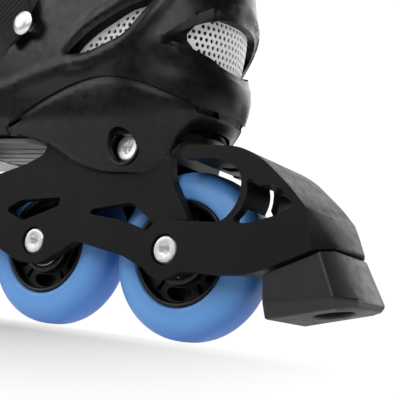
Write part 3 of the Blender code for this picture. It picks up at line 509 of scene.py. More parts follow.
class Material(Nodes):
    """A principled material with textures in the object's own coordinates."""

    def __init__(self, name, roughness, metallic=0.0, specular=0.5):
        self.made = bpy.data.materials.new(name)
        self.made.use_nodes = True
        super().__init__(self.made.node_tree)
        self.shader = self.nodes["Principled BSDF"]
        self.dress({"Roughness": roughness, "Metallic": metallic, "Specular IOR Level": specular})
        self.at = self.add("TexCoord", "Object", {})

    def dress(self, inputs):
        self.put(self.shader, inputs)

    def noise(self, scale, detail=3.0, roughness=0.5):
        inputs = {"Vector": self.at, "Scale": scale, "Detail": detail, "Roughness": roughness}
        return self.add("TexNoise", "Fac", inputs)

    def waves(self, scale, **how):
        return self.add("TexWave", "Fac", {"Vector": self.at, "Scale": scale}, **how)

    def bump(self, height, depth, strength):
        inputs = {"Distance": depth, "Strength": strength, "Height": height}
        self.dress({"Normal": self.add("Bump", "Normal", inputs)})


def moulded(name, dark, light, roughness, grain=2600.0, depth=0.00003, specular=0.5, tint=0.0):
    """Moulded plastic or rubber: a fine etched grain, with a slow drift of colour and gloss."""
    mould = Material(name, roughness, specular=specular)
    drift = mould.ramp(mould.noise(38.0, 4.0), [(0.35, grey(dark, tint)), (0.65, grey(light, tint))])
    worn = mould.ranged(mould.noise(210.0, 5.0, 0.6), roughness - 0.08, roughness + 0.08)
    mould.dress({"Base Color": drift, "Roughness": worn})
    mould.bump(mould.noise(grain, 2.0), depth, 0.6)
    return mould.made


def polyurethane(name):
    """Cast blue tyre, paler on its sides than at the tread. Its own middle is on the axle."""
    cast = Material(name, 0.34, specular=0.45)
    flat = cast.add("VectorMath", "Vector", {0: cast.at, 1: (1.0, 0.0, 1.0)}, operation="MULTIPLY")
    radius = cast.add("VectorMath", "Value", {0: flat}, operation="LENGTH")
    share = cast.ranged(radius, 0.0, 1.0, HUB_R * MM, WHEEL_R * MM)
    varied = cast.maths("ADD", share, cast.maths("MULTIPLY", cast.noise(60.0), 0.10))
    stops = [(0.05, (0.125, 0.340, 0.740)), (0.45, (0.150, 0.380, 0.790)), (0.80, (0.110, 0.305, 0.700))]
    stops.append((1.0, (0.070, 0.225, 0.600)))
    cast.dress({"Base Color": cast.ramp(varied, stops), "Subsurface Weight": 0.12})
    cast.dress({"Subsurface Radius": (0.001, 0.002, 0.004)})
    cast.dress({"Roughness": cast.ranged(cast.noise(420.0, 5.0), 0.28, 0.44)})
    cast.bump(cast.noise(1500.0, 2.0), 0.00002, 0.5)
    return cast.made


def turned_metal(name, colour, roughness):
    """Machined steel, with fine rings about the Y axis and small scratches."""
    steel = Material(name, roughness, 1.0)
    rings = steel.waves(420.0, wave_type="RINGS", rings_direction="Y")
    scratches = steel.noise(300.0, 4.0, 0.6)
    height = steel.maths("ADD", steel.maths("MULTIPLY", rings, 0.5), scratches)
    pale = tuple(min(1.0, value * 1.12) for value in colour)
    steel.dress({"Base Color": steel.ramp(scratches, [(0.3, colour), (0.7, pale)])})
    steel.dress({"Roughness": steel.ranged(scratches, roughness - 0.08, roughness + 0.12)})
    steel.bump(height, 0.0000006, 0.4)
    return steel.made


def woven(name, dark, light, pitch, depth, sheen):
    """Cloth: two crossing rows of yarns, every other one on top, with loose fibres."""
    cloth = Material(name, 0.85, specular=0.25)
    scale = 0.314 / pitch
    warp = cloth.waves(scale, bands_direction="DIAGONAL")
    weft = cloth.waves(scale, bands_direction="Z")
    yarns = cloth.maths("MAXIMUM", warp, cloth.maths("SUBTRACT", 1.0, weft))
    height = cloth.maths("ADD", yarns, cloth.maths("MULTIPLY", cloth.noise(4000.0, 4.0), 0.35))
    drift = cloth.maths("MULTIPLY", cloth.noise(50.0, 4.0), 0.5)
    tone = cloth.maths("ADD", cloth.maths("MULTIPLY", height, 0.5), drift)
    cloth.dress({"Base Color": cloth.ramp(tone, [(0.35, grey(dark)), (0.95, grey(light))])})
    cloth.dress({"Sheen Weight": sheen, "Sheen Roughness": 0.5})
    cloth.bump(height, depth, 0.8)
    return cloth.made


# What each slot looks like
LOOKS = {
    "tyre": polyurethane("tyre_polyurethane"),
    "hub": moulded("hub_nylon", 0.0025, 0.0045, 0.34, specular=0.4),
    "frame": moulded("frame_nylon", 0.0062, 0.0085, 0.50, specular=0.16),
    "shell": moulded("shell_plastic", 0.0027, 0.0042, 0.33, specular=0.32),
    "rack": moulded("rack_plastic", 0.15, 0.20, 0.5),
    "mesh": moulded("perforated_insert", 0.82, 0.90, 0.55, tint=0.01),
    "rubber": moulded("brake_rubber", 0.008, 0.012, 0.50, 1500.0, 0.00004),
    "steel": turned_metal("plain_steel", (0.42, 0.43, 0.45), 0.34),
    "bright": turned_metal("bright_steel", (0.88, 0.88, 0.89), 0.40),
    "fabric": woven("liner_cloth", 0.006, 0.030, 0.0011, 0.00025, 0.25),
    "insole": woven("insole_foam", 0.02, 0.06, 0.0016, 0.0003, 0.2),
    "webbing": woven("strap_webbing", 0.003, 0.012, 0.0009, 0.0002, 0.08),
    "strap": moulded("strap_plastic", 0.006, 0.009, 0.42),
    "buckle": moulded("buckle_plastic", 0.007, 0.010, 0.36),
    "lace": woven("lace_cord", 0.006, 0.035, 0.0007, 0.00015, 0.2),
}


# Camera, floor and light

CAMERA_AT = (242.37, -351.98, 2.91)
CAMERA_ANGLES = (34.64, -8.12, 7.62)
CAMERA_LENS = 86.07
# The floor falls away from this far (m) in front of the skate, to this slope
FALL, FALL_FROM, FALL_EASE = 0.28, 0.012, 0.02
FLOOR_R = 1.4
# What the floor throws back in front of the skate, how dark the shadow painted on it for the camera is, and
# how white it looks to the camera
DIM_FLOOR, PAINTED_SHADOW, PAPER_WHITE = 0.4, 0.50, 1.04
# Where (m) the dimming fades, and the painted shadow fades towards the camera, the wheels, the heel and the
# toe
DIM_FADE = (-0.06, 0.04)
PAINTED_SHADOW_FADES = (
    ("Y", 0.0, 1.0, -0.14, -0.035),
    ("Y", 1.0, 0.0, -0.036, -0.012),
    ("X", 1.0, 0.0, 0.02, 0.20),
    ("X", 0.0, 1.0, -0.26, -0.12),
)
SKY_WHITE, WORLD_LIGHT = 1.05, 0.045
LIGHTS_ABOUT = Vector((0.05, 0.0, 0.1))
# Name, azimuth round the skate (0 is in front of the inner side), height, distance, size, power
LIGHTS = (
    ("key", 14.0, 34.0, 1.3, (0.8, 0.9), 9.0),
    ("toe_fill", -48.0, 22.0, 1.4, (0.8, 0.8), 5.0),
    ("back", 178.0, 26.0, 1.4, (1.3, 0.8), 8.0),
    ("top", -20.0, 72.0, 1.5, (1.1, 1.1), 11.0),
    ("heel_rim", 140.0, 18.0, 1.3, (0.5, 0.8), 2.6),
)


def towards(turn, rise):
    """Unit vector at an azimuth (radians) from the inner side, and so far up."""
    return Vector((math.sin(turn) * math.cos(rise), -math.cos(turn) * math.cos(rise), math.sin(rise)))


def add_camera():
    turn, pitch, roll = (math.radians(v) for v in CAMERA_ANGLES)
    back = towards(turn, pitch)
    right = Vector((math.cos(turn), math.sin(turn), 0.0))
    up = back.cross(right)
    across = right * math.cos(roll) + up * math.sin(roll)
    upright = up * math.cos(roll) - right * math.sin(roll)
    lens = bpy.data.cameras.new("camera")
    lens.lens = CAMERA_LENS
    lens.clip_start = 0.01
    lens.dof.use_dof = False
    camera = linked("camera", lens)
    place = (np.array(CAMERA_AT) + ORIGIN) * MM
    camera.matrix_world = Matrix.Translation(place) @ Matrix((across, upright, back)).transposed().to_4x4()
    bpy.context.scene.camera = camera
    bpy.context.scene.view_settings.view_transform = "Standard"


def paper():
    """White paper: evenly white with a painted soft shadow for the camera, and lit and dimmed for other rays.
    """
    sheet = Material("paper", 0.9, specular=0.0)
    tone = sheet.ramp(sheet.noise(3.0), [(0.0, grey(0.95)), (1.0, grey(0.97))])
    sight = sheet.add("LightPath", "Is Camera Ray", {})
    apart = sheet.add("SeparateXYZ", "X", {0: sheet.at}).node.outputs

    def fade(axis, *ends):
        return sheet.ranged(apart[axis], *ends)

    shade = sheet.maths("MAXIMUM", fade("Y", DIM_FLOOR, 1.0, *DIM_FADE), sight)
    base = sheet.add("VectorMath", "Vector", {0: tone, "Scale": shade}, operation="SCALE")
    away = sheet.add("VectorMath", "Value", {0: sheet.at}, operation="LENGTH")
    glow = sheet.ranged(away, 0.35, 1.0, 0.2, 0.6)
    sheet.dress({"Base Color": base, "Emission Color": WHITE, "Emission Strength": glow})
    # Painted shadow: a soft darkening of the paper's white emission in front of the wheels, seen only by the
    # camera.
    dark = PAINTED_SHADOW
    for ends in PAINTED_SHADOW_FADES:
        dark = sheet.maths("MULTIPLY", dark, fade(*ends))
    white = sheet.add("Emission", "Emission", {"Strength": sheet.maths("SUBTRACT", PAPER_WHITE, dark)})
    seen = sheet.add("MixShader", "Shader", {"Fac": sight, 1: sheet.shader.outputs["BSDF"], 2: white})
    sheet.put(sheet.nodes["Material Output"], {"Surface": seen})
    return sheet.made


def add_floor():
    rings = []
    angles = np.radians(np.arange(0, 360, 4))
    for radius in FLOOR_R * np.linspace(0.0, 1.0, 60)[1:] ** 1.5:
        fall = np.maximum(-radius * np.sin(angles) - FALL_FROM, 0.0)
        heights = -FALL * fall**2 / (fall + FALL_EASE)
        rings.append(list(zip(radius * np.cos(angles), radius * np.sin(angles), heights)))
    points, faces = skin(rings, caps=False)
    points.append((0.0, 0.0, 0.0))
    faces += [(len(points) - 1, k, (k + 1) % len(angles)) for k in range(len(angles))]
    mesh = bpy.data.meshes.new("floor")
    mesh.from_pydata([tuple(p) for p in points], [], faces)
    floor = linked("floor", mesh)
    mesh.materials.append(paper())


def add_lights():
    world = bpy.data.worlds.new("studio")
    bpy.context.scene.world = world
    world.use_nodes = True
    sky = Nodes(world.node_tree)
    seen = sky.nodes["Background"]
    sky.put(seen, {"Color": WHITE, "Strength": SKY_WHITE})
    lit = sky.add("Background", "Background", {"Color": WHITE, "Strength": WORLD_LIGHT})
    sight = sky.add("LightPath", "Is Camera Ray", {})
    mix = sky.add("MixShader", "Shader", {"Fac": sight, 1: lit, 2: seen.outputs["Background"]})
    sky.put(sky.nodes["World Output"], {"Surface": mix})
    for name, azimuth, height, distance, size, power in LIGHTS:
        lamp = bpy.data.lights.new(name, "AREA")
        lamp.shape = "RECTANGLE"
        lamp.size, lamp.size_y = size
        lamp.energy = power
        ray = towards(math.radians(azimuth), math.radians(height))
        turn = ray.to_track_quat("Z", "Y").to_matrix().to_4x4()
        linked(name, lamp).matrix_world = Matrix.Translation(ray * distance + LIGHTS_ABOUT) @ turn


# Wheels


def socket_head(face, at, side, shank, tip):
    """Low round head with a chamfer and a hexagon socket, and its shank. The face is at |y| = face."""
    flat = hexagon(SOCKET)
    rings = [(hexagon(SOCKET, 0.25), face - 2.9), (hexagon(SOCKET, 0.75), face - 2.6)]
    rings += [(flat, face - 2.5), (flat, face - 0.35), (hexagon(SOCKET, 1.1), face - 0.08)]
    rings += [(3.3, face), (4.6, face), (HEAD_R - 1.0, face), (HEAD_R - 0.75, face - 0.06)]
    rings += [(HEAD_R - 0.2, face - 0.62), (HEAD_R, face - 0.9), (HEAD_R, face - HEAD_THICK)]
    rings += [(shank, face - HEAD_THICK)]
    rings += [(shank, tip), (shank - 0.6, tip - 0.6)]
    return lathe(rings, at, 48, side)


def bolt_pair(at, face, shank, bolt, nut):
    """A bolt with its head on the inner side and its sleeve nut on the outer, as (node, end of its shank)."""
    for side, (node, tip) in ((-1, bolt), (1, nut)):
        head = socket_head(face, at, side, shank, tip)
        piece(f"{node}_socket_head", head, "bright", node, at=(at[0], 0.0, at[1]), sharp=28)


def tyre_profile():
    """Bullet-shaped section: flat sides that round over to the tread, and a small lip at the hub."""
    outer = [(24.0, 11.0), (24.3, 11.7), (24.9, 12.0), (27.0, 12.0)]
    start_r, start_y = 28.0, 12.0
    for i in range(19):
        t = math.pi / 2 * i / 18
        r = start_r + (WHEEL_R - start_r) * math.sin(t) ** 1.15
        outer.append((r, start_y * math.cos(t) ** 0.62 if i < 18 else 0.0))
    half = [(HUB_R + 0.15, 10.6)] + outer
    return half + [(r, -y) for r, y in reversed(half) if y > 0]


def hub_web(centre):
    """Openings of the disc between rim and core: five lenses, and a slot in each spoke."""

    def placed(turn, points):
        """Points (outwards, along, ...) of a frame that is turned so far about the axle."""
        c, s = math.cos(math.radians(turn)), math.sin(math.radians(turn))
        return [(centre[0] + c * u - s * w, centre[1] + s * u + c * w, *more) for u, w, *more in points]

    lens = []
    for k in range(28):
        a = 2 * math.pi * k / 28
        w = 6.6 * math.cos(a)
        lens.append((17.7 + 3.25 * math.sin(a) * (1 + 0.10 * math.cos(2 * a)) - 0.022 * w * w, w))
    slot = [(15.2, -0.75, 0.7), (20.6, -1.15, 0.9), (20.6, 1.15, 0.9), (15.2, 0.75, 0.7)]
    holes = []
    for i in range(5):
        holes += [placed(72 * i + 54, lens), rounded(placed(72 * i + 90, slot), 3)]
    return holes


def there_and_back(half):
    """A profile (radius, y) on one side of the wheel's middle, and back on its other side."""
    return half + [(r, -y) for r, y in reversed(half)]


def build_wheels():
    rim = [(21.3, 4.0), (21.5, 10.8), (21.9, 11.5), (22.5, 11.75), (23.3, 11.75), (HUB_R, 11.4), (HUB_R, 4.0)]
    core = [(BEARING_R + 0.15, 11.7), (13.2, 11.7), (13.9, 11.2), (14.3, 7.0)]
    race = [(BORE_R, 5.0), (BORE_R, 11.8), (4.5, 11.95), (6.1, 11.95), (6.3, 11.6), (9.0, 11.6)]
    race += [(9.2, 11.95), (10.7, 11.95), (10.95, 11.7), (10.95, 5.2)]
    tube = [(BORE_R, 4.7), (5.4, 4.7), (5.6, 4.5)]
    for i in range(WHEELS):
        number = WHEELS - i
        body = f"wheel_{number}"
        at = (-PITCH * i, WHEEL_R)
        centre = (at[0], 0.0, at[1])
        tyre = tube_ring(tyre_profile(), at, 144)
        piece(f"{body}_tyre_cast", tyre, "tyre", f"{body}_tyre", body, at=centre, sharp=60)
        disc = arc(*at, 21.6, 0, 356.25, 95)
        bore = arc(*at, 13.6, 0, 352.5, 47)
        hub = [tube_ring(there_and_back(rim), at, 96), tube_ring(there_and_back(core), at, 64)]
        for side, _ in SIDES:
            hub.append(side_panel(disc, side, 7.4, 6.2, holes=[bore] + hub_web(at), step=2.2, fine=0.7))
        hub.append(side_panel(disc, -1, 1.0, 2.0, holes=[bore], step=4.0))
        piece(f"{body}_hub_moulding", merged(*hub), "hub", f"{body}_hub", body, at=centre, edge=0.35)
        for side, name in SIDES:
            node = f"{body}_bearing_{name}"
            piece(f"{node}_shielded", tube_ring(race, at, 64, side), "steel", node, body, at=centre, sharp=30)
        face = BRAKE_AXLE_FACE if i == 0 else AXLE_FACE
        bolt_pair(at, face, 3.95, (f"axle_bolt_{number}", 12.0 - face), (f"axle_nut_{number}", face - 10.4))
        spacer = tube_ring(there_and_back(tube), at, 40)
        piece(f"spacer_{number}_tube", spacer, "steel", f"spacer_{number}", at=centre)


# Frame

HEEL_DECK, TOE_DECK = 87.4, 82.0
LUG_R = 13.0


def frame_outline():
    outline = [(-3 * PITCH - 10.5, 31.0, 6.0), (-3 * PITCH - 3.0, 27.0, 8.0)]
    for i in range(WHEELS - 1):
        left = -PITCH * (WHEELS - 1 - i)
        outline += [(left + 5.5, 27.4, 6.0), (left + 18.0, 34.0, 8.0), (left + 26.0, 39.3, 5.0)]
        outline += [(left + 55.0, 34.2, 9.0), (left + 73.0, 27.4, 6.0)]
    outline += [(7.0, 27.0, 5.0), (12.5, 34.0, 4.0), (12.5, 45.0, 4.0), (8.4, 51.7)]
    outline += [(2.2, 60.7, 20.0), (-4.6, 71.0, 20.0), (-6.4, 82.5), (-7.5, HEEL_DECK)]
    outline += [(-79.0, HEEL_DECK), (-81.5, 80.0, 4.0), (-92.0, 75.2, 20.0), (-118.0, 67.5, 40.0)]
    outline += [(-148.0, 74.0, 20.0), (-157.0, TOE_DECK, 3.0), (-224.0, TOE_DECK, 3.0)]
    outline += [(-231.0, 70.0, 12.0), (-247.0, 52.0, 12.0), (-251.5, 40.0, 6.0)]
    return rounded(outline, 5)


def frame_windows():
    above = [(-102.5, 52.0, 1.8), (-91.9, 57.4, 6.0), (-65.3, 59.5, 1.5)]
    above += [(-67.5, 55.0, 2.0), (-88.5, 47.4, 4.0)]
    behind = [(-47.5, 52.2, 1.2), (-45.5, 54.6, 1.2), (-23.5, 58.3, 4.0)]
    behind += [(-8.5, 48.6, 2.0), (-13.0, 45.8, 2.0), (-29.3, 50.2, 8.0)]
    shapes = []
    for window in (above, behind):
        shapes.append(rounded(window, 4))
        shapes.append(rounded([(-3 * PITCH - corner[0], *corner[1:]) for corner in reversed(window)], 4))
    return shapes


def build_frame():
    outline = frame_outline()
    axles = [(-PITCH * i, WHEEL_R) for i in range(WHEELS)]
    bore_r = BORE_R + BORE_CLEAR
    cross = circle(CROSS_BOLT, BOLT_HOLE_R, 20)
    inner_holes = frame_windows() + [circle(at, bore_r, 24) for at in axles] + [cross]
    outer_holes = frame_windows() + [circle(at, HEAD_R + HEAD_CLEAR) for at in axles[1:]] + [cross]
    # The outer plates leave room for the brake housing's lug
    split = min(range(len(outline)), key=lambda k: abs(outline[k][0] - 7.0) + abs(outline[k][1] - 27.0))
    low_part = [p for p in outline[: split + 1] if p[0] < -4.5]
    top_part = [p for p in outline[split:] if p[1] > WHEEL_R + LUG_R + 0.5]
    outer_outline = low_part + arc(0.0, WHEEL_R, LUG_R + LUG_CLEAR, 245, 92, 26) + top_part
    boss = [(bore_r, 12.3), (6.4, 12.3), (7.2, 14.9), (bore_r, 14.9)]
    shapes = []
    for side, _ in SIDES:
        shapes.append(side_panel(outline, side, 17.6, 3.1, holes=inner_holes, step=5.0, fine=1.0))
        shapes.append(side_panel(outer_outline, side, PLATE_OUT, 2.9, holes=outer_holes, step=5.0, fine=1.0))
        shapes += [tube_ring(boss, at, 40, side) for at in axles]
    piece("frame_side_plates", merged(*shapes), "frame", "frame", edge=0.5)

    heel_roof, toe_roof = HEEL_DECK - 5.4, TOE_DECK - 4.0
    heel = [(-78.9, HEEL_DECK - 0.2), (-80.0, 83.0, 2), (-74.5, heel_roof), (-38.0, heel_roof, 1)]
    heel += [(-36.0, 77.0, 1), (-20.0, 77.0, 1), (-18.0, heel_roof, 1), (-6.6, heel_roof)]
    heel.append((-7.4, HEEL_DECK - 0.2))
    toe = [(-224.0, TOE_DECK - 0.2), (-227.5, toe_roof), (-160.0, toe_roof), (-156.5, TOE_DECK - 0.2)]
    outlines = [rounded(heel), toe]
    for i in range(WHEELS - 1):
        x = -PITCH * (i + 0.5)
        outlines.append(rounded([(x - 2.6, 60, 1), (x + 2.6, 60, 1), (x + 4.6, 66, 1), (x - 4.6, 66, 1)]))
        outlines.append([(x - 0.9, 65.5), (x + 0.9, 65.5), (x + 0.9, 69.5), (x - 0.9, 69.5)])
    reach = PLATE_IN + 0.6
    decks = merged(*[prism(outline, -reach, reach) for outline in outlines])
    piece("frame_decks_and_ribs", decks, "frame", edge=0.4)


# Brake

CHEEK_IN, CHEEK_OUT, ROOM_R = 18.3, 23.6, 41.2
THROUGH = 40.0
RIB_IN = 4.0
PAD_FOOT = Vector((71.7, 0.0, 18.5))
PAD_LEAN = Matrix.Rotation(math.radians(-14.5), 3, "Y")


def on_pad_axis(profile, segments=40):
    """Turns the profile (radius, height) about the brake bolt's leaning axis."""
    return turned(profile, lambda a, b, height: PAD_FOOT + PAD_LEAN @ Vector((a, b, height)), segments)


def housing_outline():
    lug = arc(0, WHEEL_R, LUG_R, 90, 270, 30)
    low = [(3.4, 25.5), (10.0, 29.3, 12), (24.0, 29.0, 30), (41.0, 30.0, 20), (48.3, 32.0, 0.8)]
    rear = [(72.4, 42.7), (77.0, 44.4, 1.2), (69.6, 54.8, 60), (58.6, 66.0, 60)]
    arm = [(44, 77.8, 40), (32, 83.4, 40), (5.4, 84.0, 1.5), (3.2, 82.0), (3.2, 78.0, 1.5)]
    front = [(21, 78.2, 16), (34.6, 73.4, 9), (35.0, 60.0, 22), (27.5, 50.8, 9), (9, 50.8)]
    return lug + rounded([(0, WHEEL_R - LUG_R)] + low + rear + arm + front, 8)[1:]


def housing_window():
    low = [(60.4, 58.8, 1.5), (51.5, 54.4, 20), (41, 51.2, 20)]
    front = [(31.0, 50.8, 1.5), (36.4, 56.5, 20), (38.6, 64.0, 20), (36.4, 71.2, 1.2)]
    return rounded(front + [(42.8, 66.8, 2), (52.5, 67.4, 8)] + low, 8)


def build_brake():
    wheel_room = [(-30, 10), (ROOM_R, 10)] + arc(0, WHEEL_R, ROOM_R, 0, 90, 30) + [(-30, WHEEL_R + ROOM_R)]
    hollow = [(26, 50.6), (60.0, 50.6, 3), (58.4, 60.5, 8), (49.5, 68.4, 30), (40, 74.8, 30), (27, 79.2, 10)]
    hollow = rounded(hollow + [(10, 79.2), (10, 66)], 6)
    cutters = [prism(wheel_room, -CHEEK_IN, CHEEK_IN), prism(hollow, -RIB_IN, RIB_IN)]
    cutters.append(prism(housing_window(), -THROUGH, THROUGH))
    cutters.append(prism(circle((0.0, WHEEL_R), BORE_R + BORE_CLEAR, 32), -THROUGH, THROUGH))
    seat = BRAKE_AXLE_FACE - HEAD_THICK - 0.2
    for side, _ in SIDES:
        cutters.append(prism(circle((0.0, WHEEL_R), HEAD_R + HEAD_CLEAR), side * seat, side * THROUGH))
        corner = [(67.5, side * 28.6), (82.5, side * 3.4), (110, side * 3.4), (110, side * 28.6)]
        lean = [[(x + (43.5 - z) * 0.32, y, z) for x, y in corner] for z in (30, 80)]
        cutters.append(skin(lean))
    cutters += [on_pad_axis([(3.4, 10.0), (3.4, 31.0)]), on_pad_axis([(6.5, 23.8), (6.5, 29.0)])]
    housing = prism(housing_outline(), -CHEEK_OUT, CHEEK_OUT)
    piece("brake_housing_moulding", housing, "frame", "brake_housing", cutters=cutters, edge=1.2)

    # Half outlines of the pad's top, middle and bottom, from its front to its rear
    pad = [
        [(48.8, 22, 31.2), (72.9, 22, 41.9), (76.2, 15, 43.3)],
        [(50.0, 22, 20.2), (81.4, 22, 24.2), (87.8, 13.2, 24.6)],
        [(49.7, 17.5, 13.2), (80.0, 16.6, 20.6), (87.2, 11.5, 22.4)],
    ]
    rings = [ring + [(x, -y, z) for x, y, z in reversed(ring)] for ring in reversed(pad)]
    wells = [on_pad_axis([(8.4, -12.0), (8.4, 9.5)]), on_pad_axis([(3.4, 5.0), (3.4, 45.0)])]
    piece("brake_pad_block", skin(rings), "rubber", "brake_pad", cutters=wells, edge=1.1)

    head = [(hexagon(0.6), 7.6), (hexagon(2.2), 7.6), (hexagon(2.2), 6.3), (4.4, 6.2), (5.2, 6.8), (5.2, 9.2)]
    head += [(2.95, 9.2), (2.95, 30.0), (2.4, 30.5)]
    piece("brake_bolt_button_head", on_pad_axis(head, 48), "steel", "brake_bolt", sharp=28)
    nut = [(5.0, 24.2), (hexagon(5.1), 24.6), (hexagon(5.1), 28.2), (5.0, 28.6)]
    bore = on_pad_axis([(BOLT_HOLE_R, 15.0), (BOLT_HOLE_R, 40.0)])
    piece("brake_nut_hexagon", on_pad_axis(nut, 48), "steel", "brake_nut", cutters=[bore], sharp=25)


# Boot

ARC_LONG = 72.3
WALL = 3.3
REAR_KNOTS = [(66, 4.0), (71, 4.5), (83, 6.5), (90, 8.0), (95, 9.6), (98.5, 11.6), (104.6, 13.4), (112, 14.4)]
REAR_KNOTS += [(118, 13.0), (126, 13.4), (140, 14.4), (157, 10.6), (175, 7.0), (192, 4.2)]
HALF_KNOTS = [(66, 22.6), (71, 24.5), (78, 27.0), (83, 29.0), (90, 32.5), (95, 34.5), (104, 36.5)]
HALF_KNOTS += [(112, 37.5), (120, 38.5), (130, 39.3), (140, 39.5), (157, 38.5), (175, 36.2), (192, 34.8)]
PLAN_KNOTS = [(-262, 0.92), (-225, 1.1), (-185, 1.17), (-140, 1.06), (-95, 0.985), (-60, 1.0), (HEEL_X, 1.0)]
GROOVE_KNOTS = [(-99, 88.6), (-87, 94.7), (-67.6, 102.9), (-49.5, 108.7), (-37.8, 110.4), (-26.6, 109.8)]
GROOVE_KNOTS += [(-4.3, 104.2), (3.6, 101.6), (10.7, 99.6), (22, 98.2)]
SKIRT_KNOTS = [(-99, 88.0), (-88, 86.0), (-71.6, 81.8), (-64.5, 78.3), (-52.7, 73.4), (-35, 71.0)]
SKIRT_KNOTS += [(-15, 71.2), (-8.4, 74.8), (-5.0, 80.5), (-1.5, 87.0), (4.0, 92.6), (22, 94.4)]
THROAT = [(-210, 101), (-150, 102, 40), (-119, 107, 24), (-101.5, 121.5, 30), (-84, 149.5, 40), (-74, 192)]
BOOT_TOP, BOOT_FRONT, BASE_FRONT, SOLE = 191.8, -209.8, -98.6, 88.05


def boot(inset):
    """The boot's surface over (u, z), moved inwards by inset in mm or by inset(u, z).

    u runs round the boot from the middle of the heel, and is below 0 on the inner side.
    """

    def surface(u, z):
        depth_in = inset(u, z) if callable(inset) else inset
        far = np.abs(u)
        side = np.where(u < 0, -1.0, 1.0)
        half = curve(z, HALF_KNOTS)
        depth = curve(z, REAR_KNOTS) - HEEL_X
        turn = np.clip(far / ARC_LONG, 0.0, 1.0) * np.pi / 2
        x = np.where(far < ARC_LONG, HEEL_X + (depth - depth_in) * np.cos(turn), HEEL_X - (far - ARC_LONG))
        along = curve(x, PLAN_KNOTS) * half - depth_in
        y = np.where(far < ARC_LONG, (half - depth_in) * np.sin(turn), along)
        return x, side * y, z

    return surface


def unrolled(points, side):
    """Side view points (x, z) as (u, z) on one side of the boot."""
    result = []
    for x, z in points:
        if x <= HEEL_X:
            result.append((side * (ARC_LONG + HEEL_X - x), z))
        else:
            depth = curve(z, REAR_KNOTS) - HEEL_X
            turn = math.acos(min(1.0, (x - HEEL_X) / depth))
            result.append((side * ARC_LONG * turn / (math.pi / 2), z))
    return result


def seen_from_behind(points):
    """Points (y, z) of the rear view as (u, z)."""
    return [(ARC_LONG * math.asin(y / curve(z, HALF_KNOTS)) / (math.pi / 2), z) for y, z in points]


def round_heel(knots, lift, front, steps=22):
    """A line of the side view that goes round the heel, as (u, z) from the inner side to the outer."""
    half = [(ARC_LONG + HEEL_X - x, curve(x, knots) + lift) for x in np.linspace(front, HEEL_X, steps)]
    for turn in np.radians(np.linspace(90, 0, steps))[1:]:
        x = HEEL_X
        for _ in range(14):
            z = curve(x, knots) + lift
            x = HEEL_X + (curve(z, REAR_KNOTS) - HEEL_X) * math.cos(turn)
        half.append((ARC_LONG * turn / (math.pi / 2), z))
    return [(-u, z) for u, z in half] + [(u, z) for u, z in reversed(half[:-1])]


def smooth_step(value, start, end):
    t = np.clip((value - start) / (end - start), 0.0, 1.0)
    return t * t * (3 - 2 * t)


def leaf(grow=0.0):
    low = [(-60.5 - grow, 123.0 - grow / 2), (-47, 123.8 - grow, 30), (-27, 130.8 - grow, 16)]
    high = [(-14.0 + grow, 149.6 + grow / 2), (-27.0, 143.8 + grow, 60), (-47.0, 134.2 + grow, 60)]
    return rounded(low + high, 8)


def both_sides(half):
    """As mirrored, for a half that starts and ends on the middle line."""
    return half + [(-y, z) for y, z in reversed(half[1:-1])]


def vent_opening():
    """Rear vent's opening, seen from behind, as (y, z). Its tips stay open and dark beside the insert."""
    half = [(0.0, 144.6), (11.0, 144.3), (17.0, 142.8), (22.5, 139.9), (28.2, 135.6), (32.2, 130.9)]
    half += [(31.6, 129.4), (27.0, 127.9), (18.5, 125.0), (12.0, 122.2), (6.0, 121.2), (0.0, 121.0)]
    return both_sides(half)


def rear_insert():
    """Edge of the rear insert, seen from behind, as (y, z)."""
    half = [(0.0, 146.4), (11.0, 146.0), (18.0, 144.4), (24.0, 140.4), (27.2, 134.4), (26.6, 131.6)]
    return both_sides(half + [(23.5, 128.0), (18.5, 124.2), (12.0, 120.6), (6.0, 119.5), (0.0, 119.3)])


def vent_recess():
    """Edge of the hollow round the rear vent, seen from behind, as (y, z)."""
    half = [(0.0, 154.0), (9.5, 151.4), (19.6, 147.1), (26.5, 141.7), (30.1, 136.7), (34.4, 128.0)]
    half += [(32.8, 126.5), (29.7, 124.1), (25.2, 121.6), (19.8, 119.4), (13.2, 117.6), (3.7, 116.7)]
    return half + [(-y, z) for y, z in reversed(half[1:])]


def shell_relief(u, z):
    """How far the shell stands proud: a hollow round the rear vent, ridges round the others, and creases."""
    points = np.column_stack([u, z])
    recess = np.array(seen_from_behind(vent_recess()))
    opening = np.array(seen_from_behind(vent_opening()))
    within = inside(points, recess)
    to_edge = distance(points, recess)
    to_hole = distance(points, opening)
    share = to_edge / np.maximum(to_edge + to_hole, 1e-6)
    hollow = -2.3 * smooth_step(share, 0.0, 0.75)
    proud = np.where(within, hollow, 0.0) + 0.35 * np.exp(-((to_edge / 3.0) ** 2))
    for side, _ in SIDES:
        edge = np.array(unrolled(leaf(), side))
        away = distance(points, edge)
        ridge = 1.25 * np.exp(-(((away - 4.0) / 2.6) ** 2)) - 0.7 * smooth_step(2.2 - away, 0.0, 2.2)
        high_side = smooth_step(z - (0.55 * (ARC_LONG + HEEL_X + 40 - np.abs(u)) + 117.0), -14.0, 14.0)
        rear = smooth_step(HEEL_X - (np.abs(u) - ARC_LONG), -68.0, -50.0)
        proud = proud + ridge * (0.35 + 0.65 * high_side) * (side * u > 0) * rear
        crease = np.array(unrolled([(-110.0, 106.0), (-83.3, 113.8), (-59.0, 119.2), (-44.0, 119.8)], side))
        near = distance(points, crease, closed=False)
        fade = smooth_step(np.abs(u), ARC_LONG + 8.0, ARC_LONG + 22.0)
        proud = proud + 0.55 * np.exp(-((near / 2.2) ** 2)) * fade
    return proud


def shell_inset(u, z):
    """The shell draws in below the groove, to fit inside the heel base."""
    return 3.0 * np.clip((93.0 - z) / 5.0, 0.0, 1.0) ** 2


